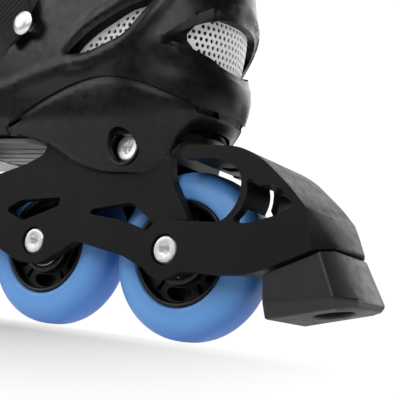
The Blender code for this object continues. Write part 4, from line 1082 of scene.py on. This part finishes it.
def build_boot_shell():
    edge = rounded(THROAT + [(-60, 230), (-300, 230), (-300, 101)], 8)
    edge = sorted((p for p in edge if p[0] > -209.0 and p[1] < 191.5), key=lambda p: p[0])
    front = [(BOOT_FRONT, SOLE), (BOOT_FRONT, 101.0)] + edge + [(-74.2, BOOT_TOP)]
    groove = round_heel(GROOVE_KNOTS, 2.0, BASE_FRONT)
    bottom = ARC_LONG + HEEL_X - BASE_FRONT
    outline = unrolled(front, -1) + unrolled(front, 1)[::-1]
    outline += [(bottom, SOLE)] + groove[::-1] + [(-bottom, SOLE)]
    holes = [seen_from_behind(vent_opening())]
    for side, _ in SIDES:
        holes.append(unrolled(leaf(), side))
        holes.append(unrolled(circle(CUFF_PIVOT, BOLT_HOLE_R, 20), side))
        holes.append(unrolled(circle(INSTEP_RIVET, RIVET_HOLE_R, 20), side))
    creases = [seen_from_behind(vent_recess() + vent_recess()[:1])]
    creases += [unrolled(leaf(2.4) + leaf(2.4)[:1], side) for side, _ in SIDES]
    wall = panel_shape(outline, boot(shell_inset), WALL, holes, creases, 2.6, 1.3, relief=shell_relief)
    wide = curve(88.0, HALF_KNOTS)
    half = [(x, wide * curve(x, PLAN_KNOTS) - 3.6) for x in np.linspace(-209.0, -99.4, 12)]
    sole = half + [(x, -y) for x, y in reversed(half)]
    sole = panel_shape(sole, level(SOLE), 3.2, step=6.0, holes=[circle((TOE_BOLT_X, 0.0), BOLT_HOLE_R, 20)],
                       facing=DOWN)
    piece("boot_shell_moulding", merged(wall, sole), "shell", "boot_shell", edge=0.55)


def base_relief(u, z):
    """How far the heel base stands proud: a step back above the groove, and a round lower edge."""
    points = np.column_stack([u, z])
    groove = np.array(round_heel(GROOVE_KNOTS, 0.0, -99.0))
    skirt = np.array(round_heel(SKIRT_KNOTS, 0.0, -99.0))
    above = z - np.interp(u, groove[:, 0], groove[:, 1])
    low = distance(points, skirt, closed=False)
    return -0.35 * smooth_step(above, -0.8, 0.4) - 1.9 * np.clip((4.0 - low) / 4.0, 0.0, 1.0) ** 2


def build_heel_base():
    top = round_heel(GROOVE_KNOTS, 3.2, -98.4)
    bottom = round_heel(SKIRT_KNOTS, 0.0, -98.4)
    outline = bottom + list(reversed(top))
    holes = []
    for side, _ in SIDES:
        holes.append(unrolled(circle(CROSS_BOLT, 7.7, 40), side))
        holes.append(unrolled([(-97.0, 90.4), (-88.0, 93.4), (-87.4, 95.6), (-96.4, 91.9)], side))
        rear_slot = ((14.5, 98.8), (32, 99.6), (36, 102.4), (16, 101.4))
        holes.append([(side * ARC_LONG * turn / 90, z) for turn, z in rear_slot])
    creases = [round_heel(GROOVE_KNOTS, lift, -96.0)[4:-4] for lift in (-0.5, 0.5)]
    shapes = [panel_shape(outline, boot(0.6), WALL, holes, creases, 2.6, 1.2, relief=base_relief)]
    for side, _ in SIDES:
        shapes.append(tube_ring([(7.6, 21.0), (8.6, 21.0), (8.6, 26.4), (7.6, 26.4)], CROSS_BOLT, 48, side))
    rear = curve(92.0, REAR_KNOTS) - HEEL_X - 3.4
    wide = curve(90.0, HALF_KNOTS) - 3.6
    heel = [(HEEL_X + rear * math.cos(a), wide * math.sin(a)) for a in np.radians(np.linspace(-90, 90, 25))]
    floor = [(-98.2, -wide * 0.97)] + heel + [(-98.2, wide * 0.97)]
    shapes.append(panel_shape(floor, level(87.75), 3.2, step=6.0, facing=DOWN))
    tail = [p for p in heel if p[0] > -6.8]
    tail = [(-6.8, tail[0][1])] + tail + [(-6.8, tail[-1][1])]
    under = panel_shape(tail, lambda x, y: (x, y, curve(x, SKIRT_KNOTS) + 0.8), 2.5, step=2.5, facing=DOWN)
    shapes.append(under)
    piece("heel_base_moulding", merged(*shapes), "shell", "heel_base", edge=0.5)


HOLE_PITCH, HOLE_R = 3.3, 1.02


def perforations(outline, margin=1.2):
    """Round holes in staggered rows, over the inside of an outline."""
    loop = np.array(outline)
    low, high = loop.min(axis=0), loop.max(axis=0)
    rise = HOLE_PITCH * 0.866
    centres = []
    for k in range(int((high[1] - low[1]) / rise) + 1):
        start = low[0] + (k % 2) * HOLE_PITCH / 2
        count = int((high[0] - low[0]) / HOLE_PITCH) + 1
        centres += [(start + i * HOLE_PITCH, low[1] + k * HOLE_PITCH * 0.866) for i in range(count)]
    centres = np.array(centres)
    keep = inside(centres, loop) & (distance(centres, loop) > margin)
    return [circle(tuple(c), HOLE_R, 10) for c in centres[keep]]


def grown(outline, by):
    """An outline moved outwards by so much."""
    loop = np.array(outline)
    ahead = np.roll(loop, -1, axis=0)
    run = ahead - np.roll(loop, 1, axis=0)
    out = np.column_stack([run[:, 1], -run[:, 0]])
    out /= np.maximum(np.linalg.norm(out, axis=1, keepdims=True), 1e-9)
    area = (loop[:, 0] * ahead[:, 1] - ahead[:, 0] * loop[:, 1]).sum()
    return [tuple(p) for p in loop + out * by * (1 if area > 0 else -1)]


def build_meshes():
    inserts = [("rear_mesh", 5.9, seen_from_behind(rear_insert()))]
    for side, name in SIDES:
        outline = [(u - side * 0.5, z - 1.7) for u, z in grown(unrolled(leaf(), side), 1.6)]
        inserts.append((f"{name}_mesh", 6.0, outline))
    for node, depth, outline in inserts:
        insert = panel_shape(outline, boot(depth), 0.9, perforations(outline), step=1.6, fine=0.7)
        piece(f"{node}_insert", insert, "mesh", node, sharp=30)


def build_heel_bolt():
    face = PLATE_OUT + 0.3 + HEAD_THICK
    bolt_pair(CROSS_BOLT, face, 2.95, ("heel_bolt", 6.0 - face), ("heel_nut", face - 4.0))


def domed_rivet(at, side, radius, outer, shank, tip):
    """Shallow dome with a rolled edge, on a shank that ends at |y| = tip."""
    seat, rise = RIVET_SEAT, outer - RIVET_SEAT
    profile = [(0.15, outer)]
    for t in np.radians(np.linspace(8, 80, 9)):
        profile.append((radius * 0.93 * math.sin(t), seat + 0.25 * rise + 0.75 * rise * math.cos(t)))
    profile += [(radius * 0.95, seat + 0.32 * rise), (radius, seat + 0.2 * rise), (radius, seat)]
    profile += [(shank, seat), (shank, tip)]
    return lathe(profile, at, 48, side)


# Toe

TOE_HALVES = [(-264, 10.0), (-261, 22.0), (-252, 34.0), (-235, 42.0), (-205, 46.5), (-185, 47.0)]
TOE_TOPS = [(-264, 103.0), (-261, 110.0), (-252, 121.0), (-235, 132.0), (-205, 141.5), (-148, 152.0)]
TOE_SOLES = [(-264, 95.0), (-258, 89.5), (-240, 84.6), (-150, 84.6)]
TOE_WALL = 3.0


def softened(ring, times):
    """A closed loop with so many times its points, on a smooth curve through them."""
    points = np.array(ring, float)
    result = []
    for i in range(len(points)):
        a, b, c, d = (points[(i + k) % len(points)] for k in (-1, 0, 1, 2))
        for t in np.arange(times) / times:
            result.append(0.5 * (2 * b + (c - a) * t + (2 * a - 5 * b + 4 * c - d) * t**2
                                 + (3 * b - a - 3 * c + d) * t**3))
    return result


def toe_section(x, inset):
    """The toe shell's cross-section at x, as a loop of points."""
    half = curve(x, TOE_HALVES) - inset
    top = curve(x, TOE_TOPS) - inset
    bottom = curve(x, TOE_SOLES) + (2.9 if inset else 0.0)
    waist = bottom + 0.38 * (top - bottom)
    right = [(half * 0.86, bottom), (half * 0.97, bottom + 4.0), (half, waist)]
    right += [(half * 0.93, 0.45 * waist + 0.55 * top), (half * 0.74, 0.18 * waist + 0.82 * top)]
    right.append((half * 0.4, top - 1.0))
    ring = [(x, y, z) for y, z in mirrored(right)]
    smooth = np.array(softened(ring, 5))
    smooth[:, 1] = np.clip(smooth[:, 1], -half, half)
    smooth[:, 2] = np.clip(smooth[:, 2], bottom, top)
    return [tuple(p) for p in smooth]


def build_toe():
    nose = -264.0 + 14.0 * (1 - np.cos(np.linspace(0, math.pi / 2, 8)))
    outer = list(nose) + list(np.arange(-245.0, -147.0, 6.0)) + [-148.0]
    inner = [-259, -255, -250, -244, -235, -225, -213, -200, -185, -170, -155, -140]
    shell = skin([toe_section(x, 0.0) for x in outer])
    hollow = skin([toe_section(x, TOE_WALL) for x in inner])
    throat = prism(rounded([(-120, -21), (-120, 21), (-190, 17, 14), (-190, -17, 14)], 10), 110.0, 170.0, "z")
    slope = prism([(-175, 170), (-146, 106), (-120, 106), (-120, 170)], -60.0, 60.0)
    slot = prism(pill(-197, -163, -4, 4, 3.8), 70.0, 95.0, "z")
    cutters = [hollow, throat, slope, slot]
    for side, _ in SIDES:
        for i in range(3):
            x = -226.0 + 13.0 * i
            vent = [(x, 112.0 + 1.5 * i, 1.4), (x + 5.0, 112.0 + 1.5 * i, 1.4)]
            vent += [(x + 9.0, 123.0 + 2.5 * i, 1.4), (x + 4.5, 123.0 + 2.5 * i, 1.4)]
            cutters.append(prism(rounded(vent), side * 20.0, side * 60.0))
    piece("toe_shell_moulding", shell, "shell", "toe_shell", "toe", cutters=cutters, edge=0.6)

    plate = [(-147.5, -25), (-147.5, 25), (-90, 24, 6), (-83, 18, 6), (-83, -18, 6), (-90, -24, 6)]
    shapes = [prism(rounded(plate, 6), 84.9, 87.3, "z")]
    for y in (-19.5, -10.0, 0.0, 10.0, 19.5):
        shapes.append(prism(pill(-146.0, -88.0, y - 1.1, y + 1.1, 1.0), 84.6, 85.2, "z"))
    for i in range(14):
        x = -143.0 + 3.4 * i
        shapes.append(prism([(x, 23.6), (x + 2.9, 23.6), (x + 1.6, 25.3), (x + 0.4, 25.3)], 85.2, 87.2, "z"))
    piece("size_rack_plate", merged(*shapes), "rack", "size_rack", "toe", edge=0.35)


def build_size_button():
    outline = [(-118, 28.5), (-104, 28.5), (-104, 39.0), (-102, 39.0), (-102, 44.0, 2), (-120, 44.0, 2)]
    outline += [(-120, 39.0), (-118, 39.0)]
    shapes = [prism(rounded(outline), 84.8, 87.6, "z")]
    for i in range(5):
        x = -117.4 + 3.2 * i
        shapes.append(prism([(x, 43.4), (x + 1.6, 43.4), (x + 1.6, 44.5), (x, 44.5)], 84.95, 87.45, "z"))
    piece("size_button_cap", merged(*shapes), "rack", "size_button", "size_button", edge=0.3)


def build_toe_bolt():
    def about_toe(profile, segments=40):
        return turned(profile, lambda a, b, z: (TOE_BOLT_X + a, b, z), segments)

    head = [(hexagon(0.6), 92.4), (hexagon(2.2), 92.4), (hexagon(2.2), 94.3), (4.6, 94.4), (5.8, 93.4)]
    head += [(6.0, 91.6), (2.95, 91.5), (2.95, 72.5), (2.4, 72.0)]
    piece("toe_bolt_button_head", about_toe(head, 48), "steel", "toe_bolt", sharp=28)
    nut = [(5.0, 73.0), (hexagon(5.3), 73.4), (hexagon(5.3), 77.3), (5.0, 77.7)]
    bore = about_toe([(BOLT_HOLE_R, 60.0), (BOLT_HOLE_R, 90.0)])
    piece("toe_nut_hexagon", about_toe(nut, 48), "steel", "toe_nut", cutters=[bore], sharp=25)


# Cuff


def cuff(inset):
    """Surface over (u, z): u is degrees round the cuff, up to 90 behind its middle and over 90 in front."""

    def surface(u, z):
        far = np.abs(u)
        side = np.where(u < 0, -1.0, 1.0)
        half = curve(z, [(160, 43.6), (198, 43.8), (235, 45.0), (272, 47.5)]) - inset
        rise = np.minimum(np.abs(z - CUFF_PIVOT[1]), 26.0)
        rear = CUFF_PIVOT[0] + np.sqrt((71.0 - inset) ** 2 - rise**2)
        rear = rear - curve(z, [(198, 0.0), (215, 5.0), (240, 11.0), (272, 11.5)])
        front = curve(z, [(160, -112.0), (215, -122.0), (272, -132.0)]) + inset
        middle = curve(z, [(160, -44.0), (215, -52.0), (272, -60.0)])
        behind = np.radians(np.clip(far, 0.0, 90.0))
        ahead = np.radians(np.clip(far - 90.0, 0.0, 89.0))
        x = middle + np.where(far < 90.0, (rear - middle) * np.cos(behind), (front - middle) * np.sin(ahead))
        y = np.where(far < 90.0, half * np.maximum(np.sin(behind), 0.0) ** 0.85, half * np.cos(ahead) ** 0.4)
        return x, side * y, z

    return surface


def round_cuff(points, side):
    """Side view points (x, z) as (u, z) on one side of the cuff."""
    samples = np.linspace(0.0, 170.0, 341)
    result = []
    for x, z in points:
        xs = cuff(0.0)(samples, np.full_like(samples, z))[0]
        result.append((side * float(np.interp(-x, -xs, samples)), z))
    return result


def cuff_side():
    """Side view of the cuff from the middle of its back, along its lower edge, round its flap and back."""
    low = [(40, 175.5), (-4, 175, 30), (-30, 165, 20), (-46, 160.8, 12), (-66, 160.8, 9), (-72, 168, 10)]
    front = [(-82, 186, 20), (-104, 212, 12), (-108, 244, 10), (-92, 250, 12), (-60, 262, 20), (-30, 268, 20)]
    shape = rounded(low + front + [(40, 270)], 6)
    return [p for p in shape if p[0] < 12.0]


def cuff_relief(u, z):
    """How far the cuff stands proud: a raised rim, a rib on each side and a sunk panel at the back."""
    away = distance(np.column_stack([u, z]), cuff_outline())
    rim = 0.7 * np.exp(-(((away - 2.2) / 1.4) ** 2))
    rib = 0.8 * np.exp(-(((np.abs(u) - 26.0 - 0.10 * (z - 215.0)) / 2.4) ** 2)) * smooth_step(away, 8.0, 16.0)
    panel = -0.7 * smooth_step(24.0 - np.abs(u), 0.0, 5.0) * smooth_step(away, 8.0, 14.0)
    return rim + rib + panel


def cuff_outline():
    return mirrored(round_cuff(cuff_side(), 1))


def build_cuff():
    holes = []
    for side, _ in SIDES:
        holes.append(round_cuff(circle(CUFF_PIVOT, BOLT_HOLE_R, 20), side))
        for i in range(3):
            z = 205.0 + 13.0 * i
            slot = rounded([(8.0, z, 1.8), (19.0, z + 1.5, 1.8), (19.0, z + 5.8, 1.8), (8.0, z + 4.3, 1.8)])
            holes.append([(side * u, v) for u, v in slot])
    wall = panel_shape(cuff_outline(), cuff(0.0), 3.0, holes, step=3.2, fine=1.5, relief=cuff_relief)
    piece("cuff_moulding", wall, "shell", "cuff", "cuff", edge=0.6)
    rivets = [("cuff_rivet", CUFF_PIVOT, 6.0, 46.8, 3.0, 34.0)]
    rivets.append(("instep_rivet", INSTEP_RIVET, 5.8, 46.6, 2.4, 34.6))
    for side, name in SIDES:
        for kind, at, *sizes in rivets:
            node = f"{kind}_{name}"
            dome = domed_rivet(at, side, *sizes)
            piece(f"{node}_dome", dome, "bright", node, at=(at[0], 0.0, at[1]), sharp=40)


def build_collar():
    """Padded collar: a deep pad round the ankle, and a plump roll along its top edge."""
    front = [(-83, 199), (-96, 208, 20), (-98, 222, 20), (-94, 279, 8)]
    half = [(20, 199.5)] + front + [(20, 279.5)]
    right = round_cuff([p for p in rounded(half, 6) if p[0] < 12.0], 1)
    outline = both_sides([(0.0, 199.5)] + right + [(0.0, 279.5)])
    reach = max(u for u, _ in outline)
    seams = [[(u, 263.0) for u in np.linspace(-reach + 6, reach - 6, 40)]]
    for u in (-74.0, -37.0, 0.0, 37.0, 74.0):
        seams.append([(u, z) for z in np.linspace(208.0, 261.0, 12)])
    pad = cushion_shape(outline, cuff(8.9), 9.4, 9.0, seams, 0.42, 3.0)
    made = piece("collar_padding", pad, "fabric", "collar", "cuff", sharp=60)


# Straps and buckle

STRAP_THICK = 1.7
PIN_AT = (-65.0, 53.6)


def spline(knots, count):
    """Points along a smooth curve through the knots, evenly spread over them."""
    table = np.array(knots, float)
    spans = len(knots) - 1
    at = np.linspace(0, spans, count)
    steps = np.arange(len(knots))
    return np.column_stack([curve(at, np.column_stack([steps, table[:, k]])) for k in range(table.shape[1])])


def strap_shape(knots, width, thick, rise, count=200, across=9):
    """A strap along (x, y, z, lean); its width leans so many degrees up from the X axis.

    rise(along, v) is how far its outer face stands proud, with along in mm and v from -1 to 1 over its width.
    """
    path = spline(knots, count)
    run = np.vstack([np.zeros(3), np.diff(path[:, :3], axis=0)])
    along = np.cumsum(np.linalg.norm(run, axis=1))
    rings = []
    for i, (x, y, z, lean) in enumerate(path):
        lean = math.radians(lean)
        side = np.array((math.cos(lean), 0.0, math.sin(lean)))
        ahead = path[min(i + 1, count - 1), :3] - path[max(i - 1, 0), :3]
        out = np.cross(side, ahead)
        out /= np.linalg.norm(out)
        here = np.array((x, y, z))
        vs = np.linspace(-1, 1, across)
        low = [here + side * v * width / 2 for v in vs]
        high = []
        for v in vs:
            edge = 0.35 if abs(v) > 0.99 else 0.0
            proud = thick * (1 - 0.3 * edge / 0.35) + rise(along[i], v)
            high.append(here + side * v * width / 2 * (1 - 0.02 * edge) + out * proud)
        rings.append(low + high[::-1])
    return skin(rings)


def build_straps():
    inner = [(-84.5, -41.5, 135.0, 38), (-100, -42.5, 151.0, 41), (-119, -39.0, 175.0, 54)]
    inner.append((-131.5, -24.0, 195.0, 70))
    knots = inner + [(-135.5, 0.0, 203.0, 78)] + [(x, -y, z, lean) for x, y, z, lean in reversed(inner)]

    def cross_ribs(along, v):
        ends = float(smooth_step(min(along, 208.0 - along), 6.0, 13.0))
        rib = (0.5 + 0.5 * math.sin(along * 2 * math.pi / 2.2)) ** 0.6
        return 0.38 * rib * ends * (1.0 if abs(v) < 0.9 else 0.2)

    band = strap_shape(knots, 24.0, STRAP_THICK, cross_ribs, 420)
    corner = rounded([(-80.5, 138.1, 6), (-87.0, 155.5), (-62.0, 158.0), (-66.0, 130.0)])
    cutters = []
    for side, _ in SIDES:
        for outline in (circle(INSTEP_RIVET, RIVET_HOLE_R, 24), corner):
            cutters.append(prism(outline, side * 20, side * 60))
    piece("instep_strap_webbing", band, "webbing", "instep_strap", cutters=cutters, sharp=50)

    half = [(-62, -46.6, 232, 90), (-92, -47.4, 233, 90), (-114, -41.0, 234, 90), (-126, -23.0, 235, 90)]
    knots = half + [(-130.0, 0.0, 235, 90)] + [(x, -y, z, 90) for x, y, z, _ in reversed(half[2:])]
    knots.append((-91.4, 47.4, 233, 90))

    def ratchet(along, v):
        if abs(v) > 0.62:
            return 0.0
        return 0.9 * ((along % 3.0) / 3.0) if 96.0 < along else 0.0

    band = strap_shape(knots, 22.0, STRAP_THICK, ratchet, 420, 13)
    piece("cuff_strap_ratchet", band, "strap", "cuff_strap", "cuff", sharp=40)


def build_buckle():
    tray = rounded([(-60, 46.7), (-60, 48.9), (-90, 48.9), (-90, 46.7)])
    ear = rounded([(-60, 47.8), (-60, 57.5, 3), (-70, 57.5, 3), (-76, 47.8)], 6)
    shapes = [prism(tray, 220.0, 246.0, "z"), prism(ear, 220.4, 223.4, "z"), prism(ear, 242.6, 245.6, "z")]
    shapes.append(prism([(-88, 48.6), (-86.5, 50.0), (-84.5, 50.0), (-83, 48.6)], 224.0, 242.0, "z"))
    piece("buckle_base_tray", merged(*shapes), "buckle", "buckle_base", "cuff", edge=0.5)
    pin = prism(circle(PIN_AT, 1.45, 24), 219.9, 246.1, "z")
    caps = [prism(circle(PIN_AT, 2.3, 24), z, z + 0.7, "z") for z in (219.4, 245.9)]
    piece("buckle_pin_rod", merged(pin, *caps), "bright", "buckle_pin", "cuff", edge=0.2)
    lever = [(3.4, -1.0, 2), (3.4, 3.6, 2), (-20, 4.8, 20), (-44, 0.6), (-44, -1.6), (-20, 1.6, 20)]
    lever.append((-4.0, -3.4, 2))
    lever = [(PIN_AT[0] + x, PIN_AT[1] + y) for x, y in rounded(lever, 8)]
    shapes = [prism(lever, 224.0, 242.0, "z")]
    for i in range(6):
        x = PIN_AT[0] - 41.0 + 2.6 * i
        y = PIN_AT[1] + 0.9 + 0.42 * i
        grip = [(x, y), (x + 1.3, y + 0.1), (x + 1.3, y + 1.1), (x, y + 1.0)]
        shapes.append(prism(grip, 226.0, 240.0, "z"))
    piece("buckle_lever_arm", merged(*shapes), "buckle", "buckle_lever", "buckle_lever", edge=0.5)


# Soft parts

LINER_HALVES = [(-252, 12), (-244, 24), (-228, 33), (-200, 36), (-170, 35), (-125, 31.5), (-95, 31)]
LINER_HALVES.append((HEEL_X, 31))
LINER_TOPS = [(-252, 110), (-244, 117), (-228, 124), (-200, 131), (-172, 136), (-150, 143), (-122, 166)]
LINER_TOPS += [(-108, 184), (-30, 184), (-6, 170), (8, 146)]
TONGUE_PATH = [(-178, 142.0), (-163, 147.0), (-149, 155.5), (-138, 169), (-129, 190), (-124, 215)]
TONGUE_PATH += [(-121.5, 250), (-126, 282)]
TONGUE_HALVES = [(0.0, 13.0), (0.2, 17.0), (0.4, 25.0), (0.6, 28.5), (1.0, 30.0)]
TONGUE_BENDS = [(0.0, 0.5), (0.25, 2.5), (0.5, 8.0), (1.0, 12.0)]
LINER_THICK, TONGUE_THICK = 5.0, 6.8
TONGUE_LONG = 165.0
LACE_ROWS = (0.16, 0.235, 0.31, 0.385, 0.46)
LACE_HALF = 19.0
LACE_RISE = TONGUE_THICK / 2 + 2.3


def liner_section(x, inset):
    """The liner's cross-section at x. The inner one runs on upwards, so that it cuts the ankle open."""
    half = curve(x, LINER_HALVES)
    if x > HEEL_X:
        half *= math.sqrt(max(1 - ((x - HEEL_X) / 42.5) ** 2, 0.0))
    half = max(half - inset, 2.0)
    low = 94.9 + inset + curve(x, [(-20, 0.0), (0, 4.0), (8, 9.0)])
    top = curve(x, LINER_TOPS) - inset
    if inset and x > -104.0:
        top += 150.0
    rise = top - low
    right = [(half * 0.8, low), (half, low + 5.0), (half, low + 0.45 * rise)]
    right += [(half * 0.94, low + 0.7 * rise), (half * 0.6, top)]
    ring = np.array(softened([(x, y, z) for y, z in mirrored(right)], 4))
    ring[:, 1] = np.clip(ring[:, 1], -half, half)
    ring[:, 2] = np.clip(ring[:, 2], low, top)
    return [tuple(p) for p in ring]


def sweep(path, radii, normals=None, sides=12):
    """A tube with elliptic section along a path: radii are (across, along the normal)."""
    path = np.array(path, float)
    count = len(path)
    rings = []
    last = np.array((0.0, 0.0, 1.0))
    for i in range(count):
        ahead = path[min(i + 1, count - 1)] - path[max(i - 1, 0)]
        ahead /= max(np.linalg.norm(ahead), 1e-9)
        up = np.array(normals[i], float) if normals is not None else last
        up = up - ahead * (up @ ahead)
        if np.linalg.norm(up) < 0.1:
            up = np.cross(ahead, (0.0, 1.0, 0.0))
        up /= np.linalg.norm(up)
        last = up
        across = np.cross(ahead, up)
        ring = []
        for k in range(sides):
            a = 2 * math.pi * k / sides
            ring.append(tuple(path[i] + across * radii[0] * math.cos(a) + up * radii[1] * math.sin(a)))
        rings.append(ring)
    return skin(rings)


def build_liner():
    arch = [-188, -176, -164, -152, -143, -134, -126]
    outer = [-252, -249, -246, -241, -236, -229, -222, -211, -200] + arch + [-118, -112, -106, -88]
    outer += [-70, -52, HEEL_X, -27, -18, -11, -5, -1, 2, 5.4]
    inner = [-246, -243, -240, -234, -228, -214, -200] + arch + [-119, -112, -105, -100, -85]
    inner += [-70, -52, HEEL_X, -27, -18, -12, -7, -4, -2.0, 0.6]
    throat = prism(rounded([(-104, -18), (-104, 18), (-172, 14, 10), (-172, -14, 10)], 6), 130.0, 230.0, "z")
    cutters = [skin([liner_section(x, LINER_THICK) for x in inner]), throat]
    shape = skin([liner_section(x, 0.0) for x in outer])
    liner = piece("liner_bootie", shape, "fabric", "liner", cutters=cutters, edge=1.4)
    shapes = []
    for side, _ in SIDES:
        path = []
        for x in np.linspace(-170.0, -106.0, 40):
            top = curve(x, LINER_TOPS)
            y = curve(x, [(-172, 13.0), (-160, 16.2), (-106, 19.5)])
            path.append((x, side * y, top - 0.4))
        shapes.append(sweep(path, (2.3, 2.0), sides=12))
    piece("liner_throat_binding", merged(*shapes), "webbing")
    insole = [(-234, 10), (-222, 17), (-195, 22.5), (-150, 20.5), (-110, 18), (-60, 18.5), (-34, 18)]
    insole.append((-23, 10))
    insole = rounded([(x, y, 14) for x, y in insole] + [(x, -y, 14) for x, y in reversed(insole)], 5)
    seams = [[(x, 0.55 * side * curve(x, [(-234, 8), (-195, 20), (-110, 16), (-34, 16)]))
              for x in np.linspace(-224, -34, 30)] for side, _ in SIDES]
    shape = cushion_shape(insole, level(101.95), 3.3, 3.0, seams, 0.25, 3.5, (0, 0, 1))
    pad = piece("insole_pad", shape, "insole", "insole", sharp=60)


def tongue_frame():
    """Points (x, z) along the tongue's middle, and the direction out of its face at each."""
    path = spline(TONGUE_PATH, 241)
    ahead = np.gradient(path, axis=0)
    ahead /= np.linalg.norm(ahead, axis=1, keepdims=True)
    return path, np.column_stack([-ahead[:, 1], ahead[:, 0]])


def tongue_at(y, share, above=0.0):
    """Points on the tongue's middle surface, or so far above it, at a share of the way up it."""
    path, normal = tongue_frame()
    at = np.clip(np.asarray(share, float), 0.0, 1.0) * (len(path) - 1)
    steps = np.arange(len(path))
    here = np.column_stack([np.interp(at, steps, path[:, k]) for k in range(2)])
    out = np.column_stack([np.interp(at, steps, normal[:, k]) for k in range(2)])
    width = curve(share, TONGUE_HALVES)
    rise = above - curve(share, TONGUE_BENDS) * (y / width) ** 2
    here = here + out * np.asarray(rise)[:, None]
    return np.column_stack([here[:, 0], y, here[:, 1]])


def build_tongue():
    def surface(u, v):
        return tongue_at(u, v / TONGUE_LONG).T

    shares = np.linspace(0.0, 1.0, 24)
    right = [(curve(s, TONGUE_HALVES), s * TONGUE_LONG) for s in shares]
    outline = rounded([(right[0][0], 0.5, 6)] + right[2:-2] + [(right[-1][0], TONGUE_LONG - 0.3, 10)]
                      + [(-right[-1][0], TONGUE_LONG - 0.3, 10)] + [(-u, v) for u, v in reversed(right[2:-2])]
                      + [(-right[0][0], 0.5, 6)], 6)
    seams = []
    for row in np.arange(0.52, 0.97, 0.088):
        wide = curve(row, TONGUE_HALVES) - 6.5
        seams.append([(u, row * TONGUE_LONG) for u in np.linspace(-wide, wide, 18)])
    for side, _ in SIDES:
        shares = np.linspace(0.08, 0.95, 40)
        seams.append([(side * (curve(s, TONGUE_HALVES) - 5.0), s * TONGUE_LONG) for s in shares])
    shape = cushion_shape(outline, surface, TONGUE_THICK, 6.0, seams, 0.45, 2.6, (-1, 0, 0.4))
    bend = ("root", "cuff", (0.0, 0.0, 0.190), (0.0, 0.0, 0.240))
    tongue = piece("tongue_padding", shape, "fabric", "tongue", sharp=60, blend=bend)


def build_laces():
    """One flat lace across the tongue in five rows, tied in a bow, and the webbing loops that hold it."""
    turns = []
    for i, share in enumerate(LACE_ROWS):
        side = 1 if i % 2 else -1
        turns += [(side * y, share) for y in np.linspace(-LACE_HALF, LACE_HALF, 5)]
    path = spline(turns, 260)
    along = tongue_at(path[:, 0], path[:, 1], LACE_RISE)
    out = tongue_at(path[:, 0], path[:, 1], LACE_RISE + 1.0) - along
    lace = [sweep(along, (1.7, 1.05), out)]
    top = LACE_ROWS[-1]

    def tied(ys, shares, rise, radii):
        lace.append(sweep(tongue_at(ys, shares, LACE_RISE + rise), radii, [out[-1]] * len(ys)))

    t = np.linspace(0.0, 1.0, 40)
    swell = np.sin(np.pi * t)
    for side, _ in SIDES:
        tied(side * (1.0 + 13.0 * swell**0.9), top + 0.004 + (0.034 * (t - 0.5)) * 2 - 0.02 * swell,
             1.6 + 1.3 * swell, (1.5, 0.9))
        tied(side * (1.0 + 9.0 * t), top - 0.15 * t, 2.2 + 0.5 * swell, (1.5, 0.9))
    t = np.linspace(0.0, 1.0, 16)
    tied(2.6 * np.cos(np.pi * t), top + 0.0 * t, 1.8 + 1.2 * np.sin(np.pi * t), (2.0, 1.5))
    piece("laces_tied", merged(*lace), "lace", "laces", sharp=60)

    t = np.linspace(0.0, 1.0, 20)
    climb = LACE_RISE + 1.5 * np.sin(np.pi * t / 0.7)
    fall = (LACE_RISE + 1.5) - (LACE_RISE + 0.2) * (np.maximum(t - 0.35, 0.0) / 0.65) ** 1.3
    rise = np.where(t < 0.35, climb, fall)
    loops = []
    for share in LACE_ROWS:
        for side, _ in SIDES:
            ys = side * (LACE_HALF - 3.2 + 8.5 * t)
            lift = tongue_at(ys, share + 0.0 * t, rise)
            up = tongue_at(ys, share + 0.0 * t, rise + 1.0) - lift
            loops.append(sweep(lift, (3.4, 0.55), up, 16))
    piece("lace_loops", merged(*loops), "webbing", sharp=40)


add_camera()
add_floor()
add_lights()
build_wheels()
build_frame()
build_brake()
build_boot_shell()
build_heel_base()
build_meshes()
build_heel_bolt()
build_toe()
build_size_button()
build_toe_bolt()
build_cuff()
build_collar()
build_straps()
build_buckle()
build_liner()
build_tongue()
build_laces()
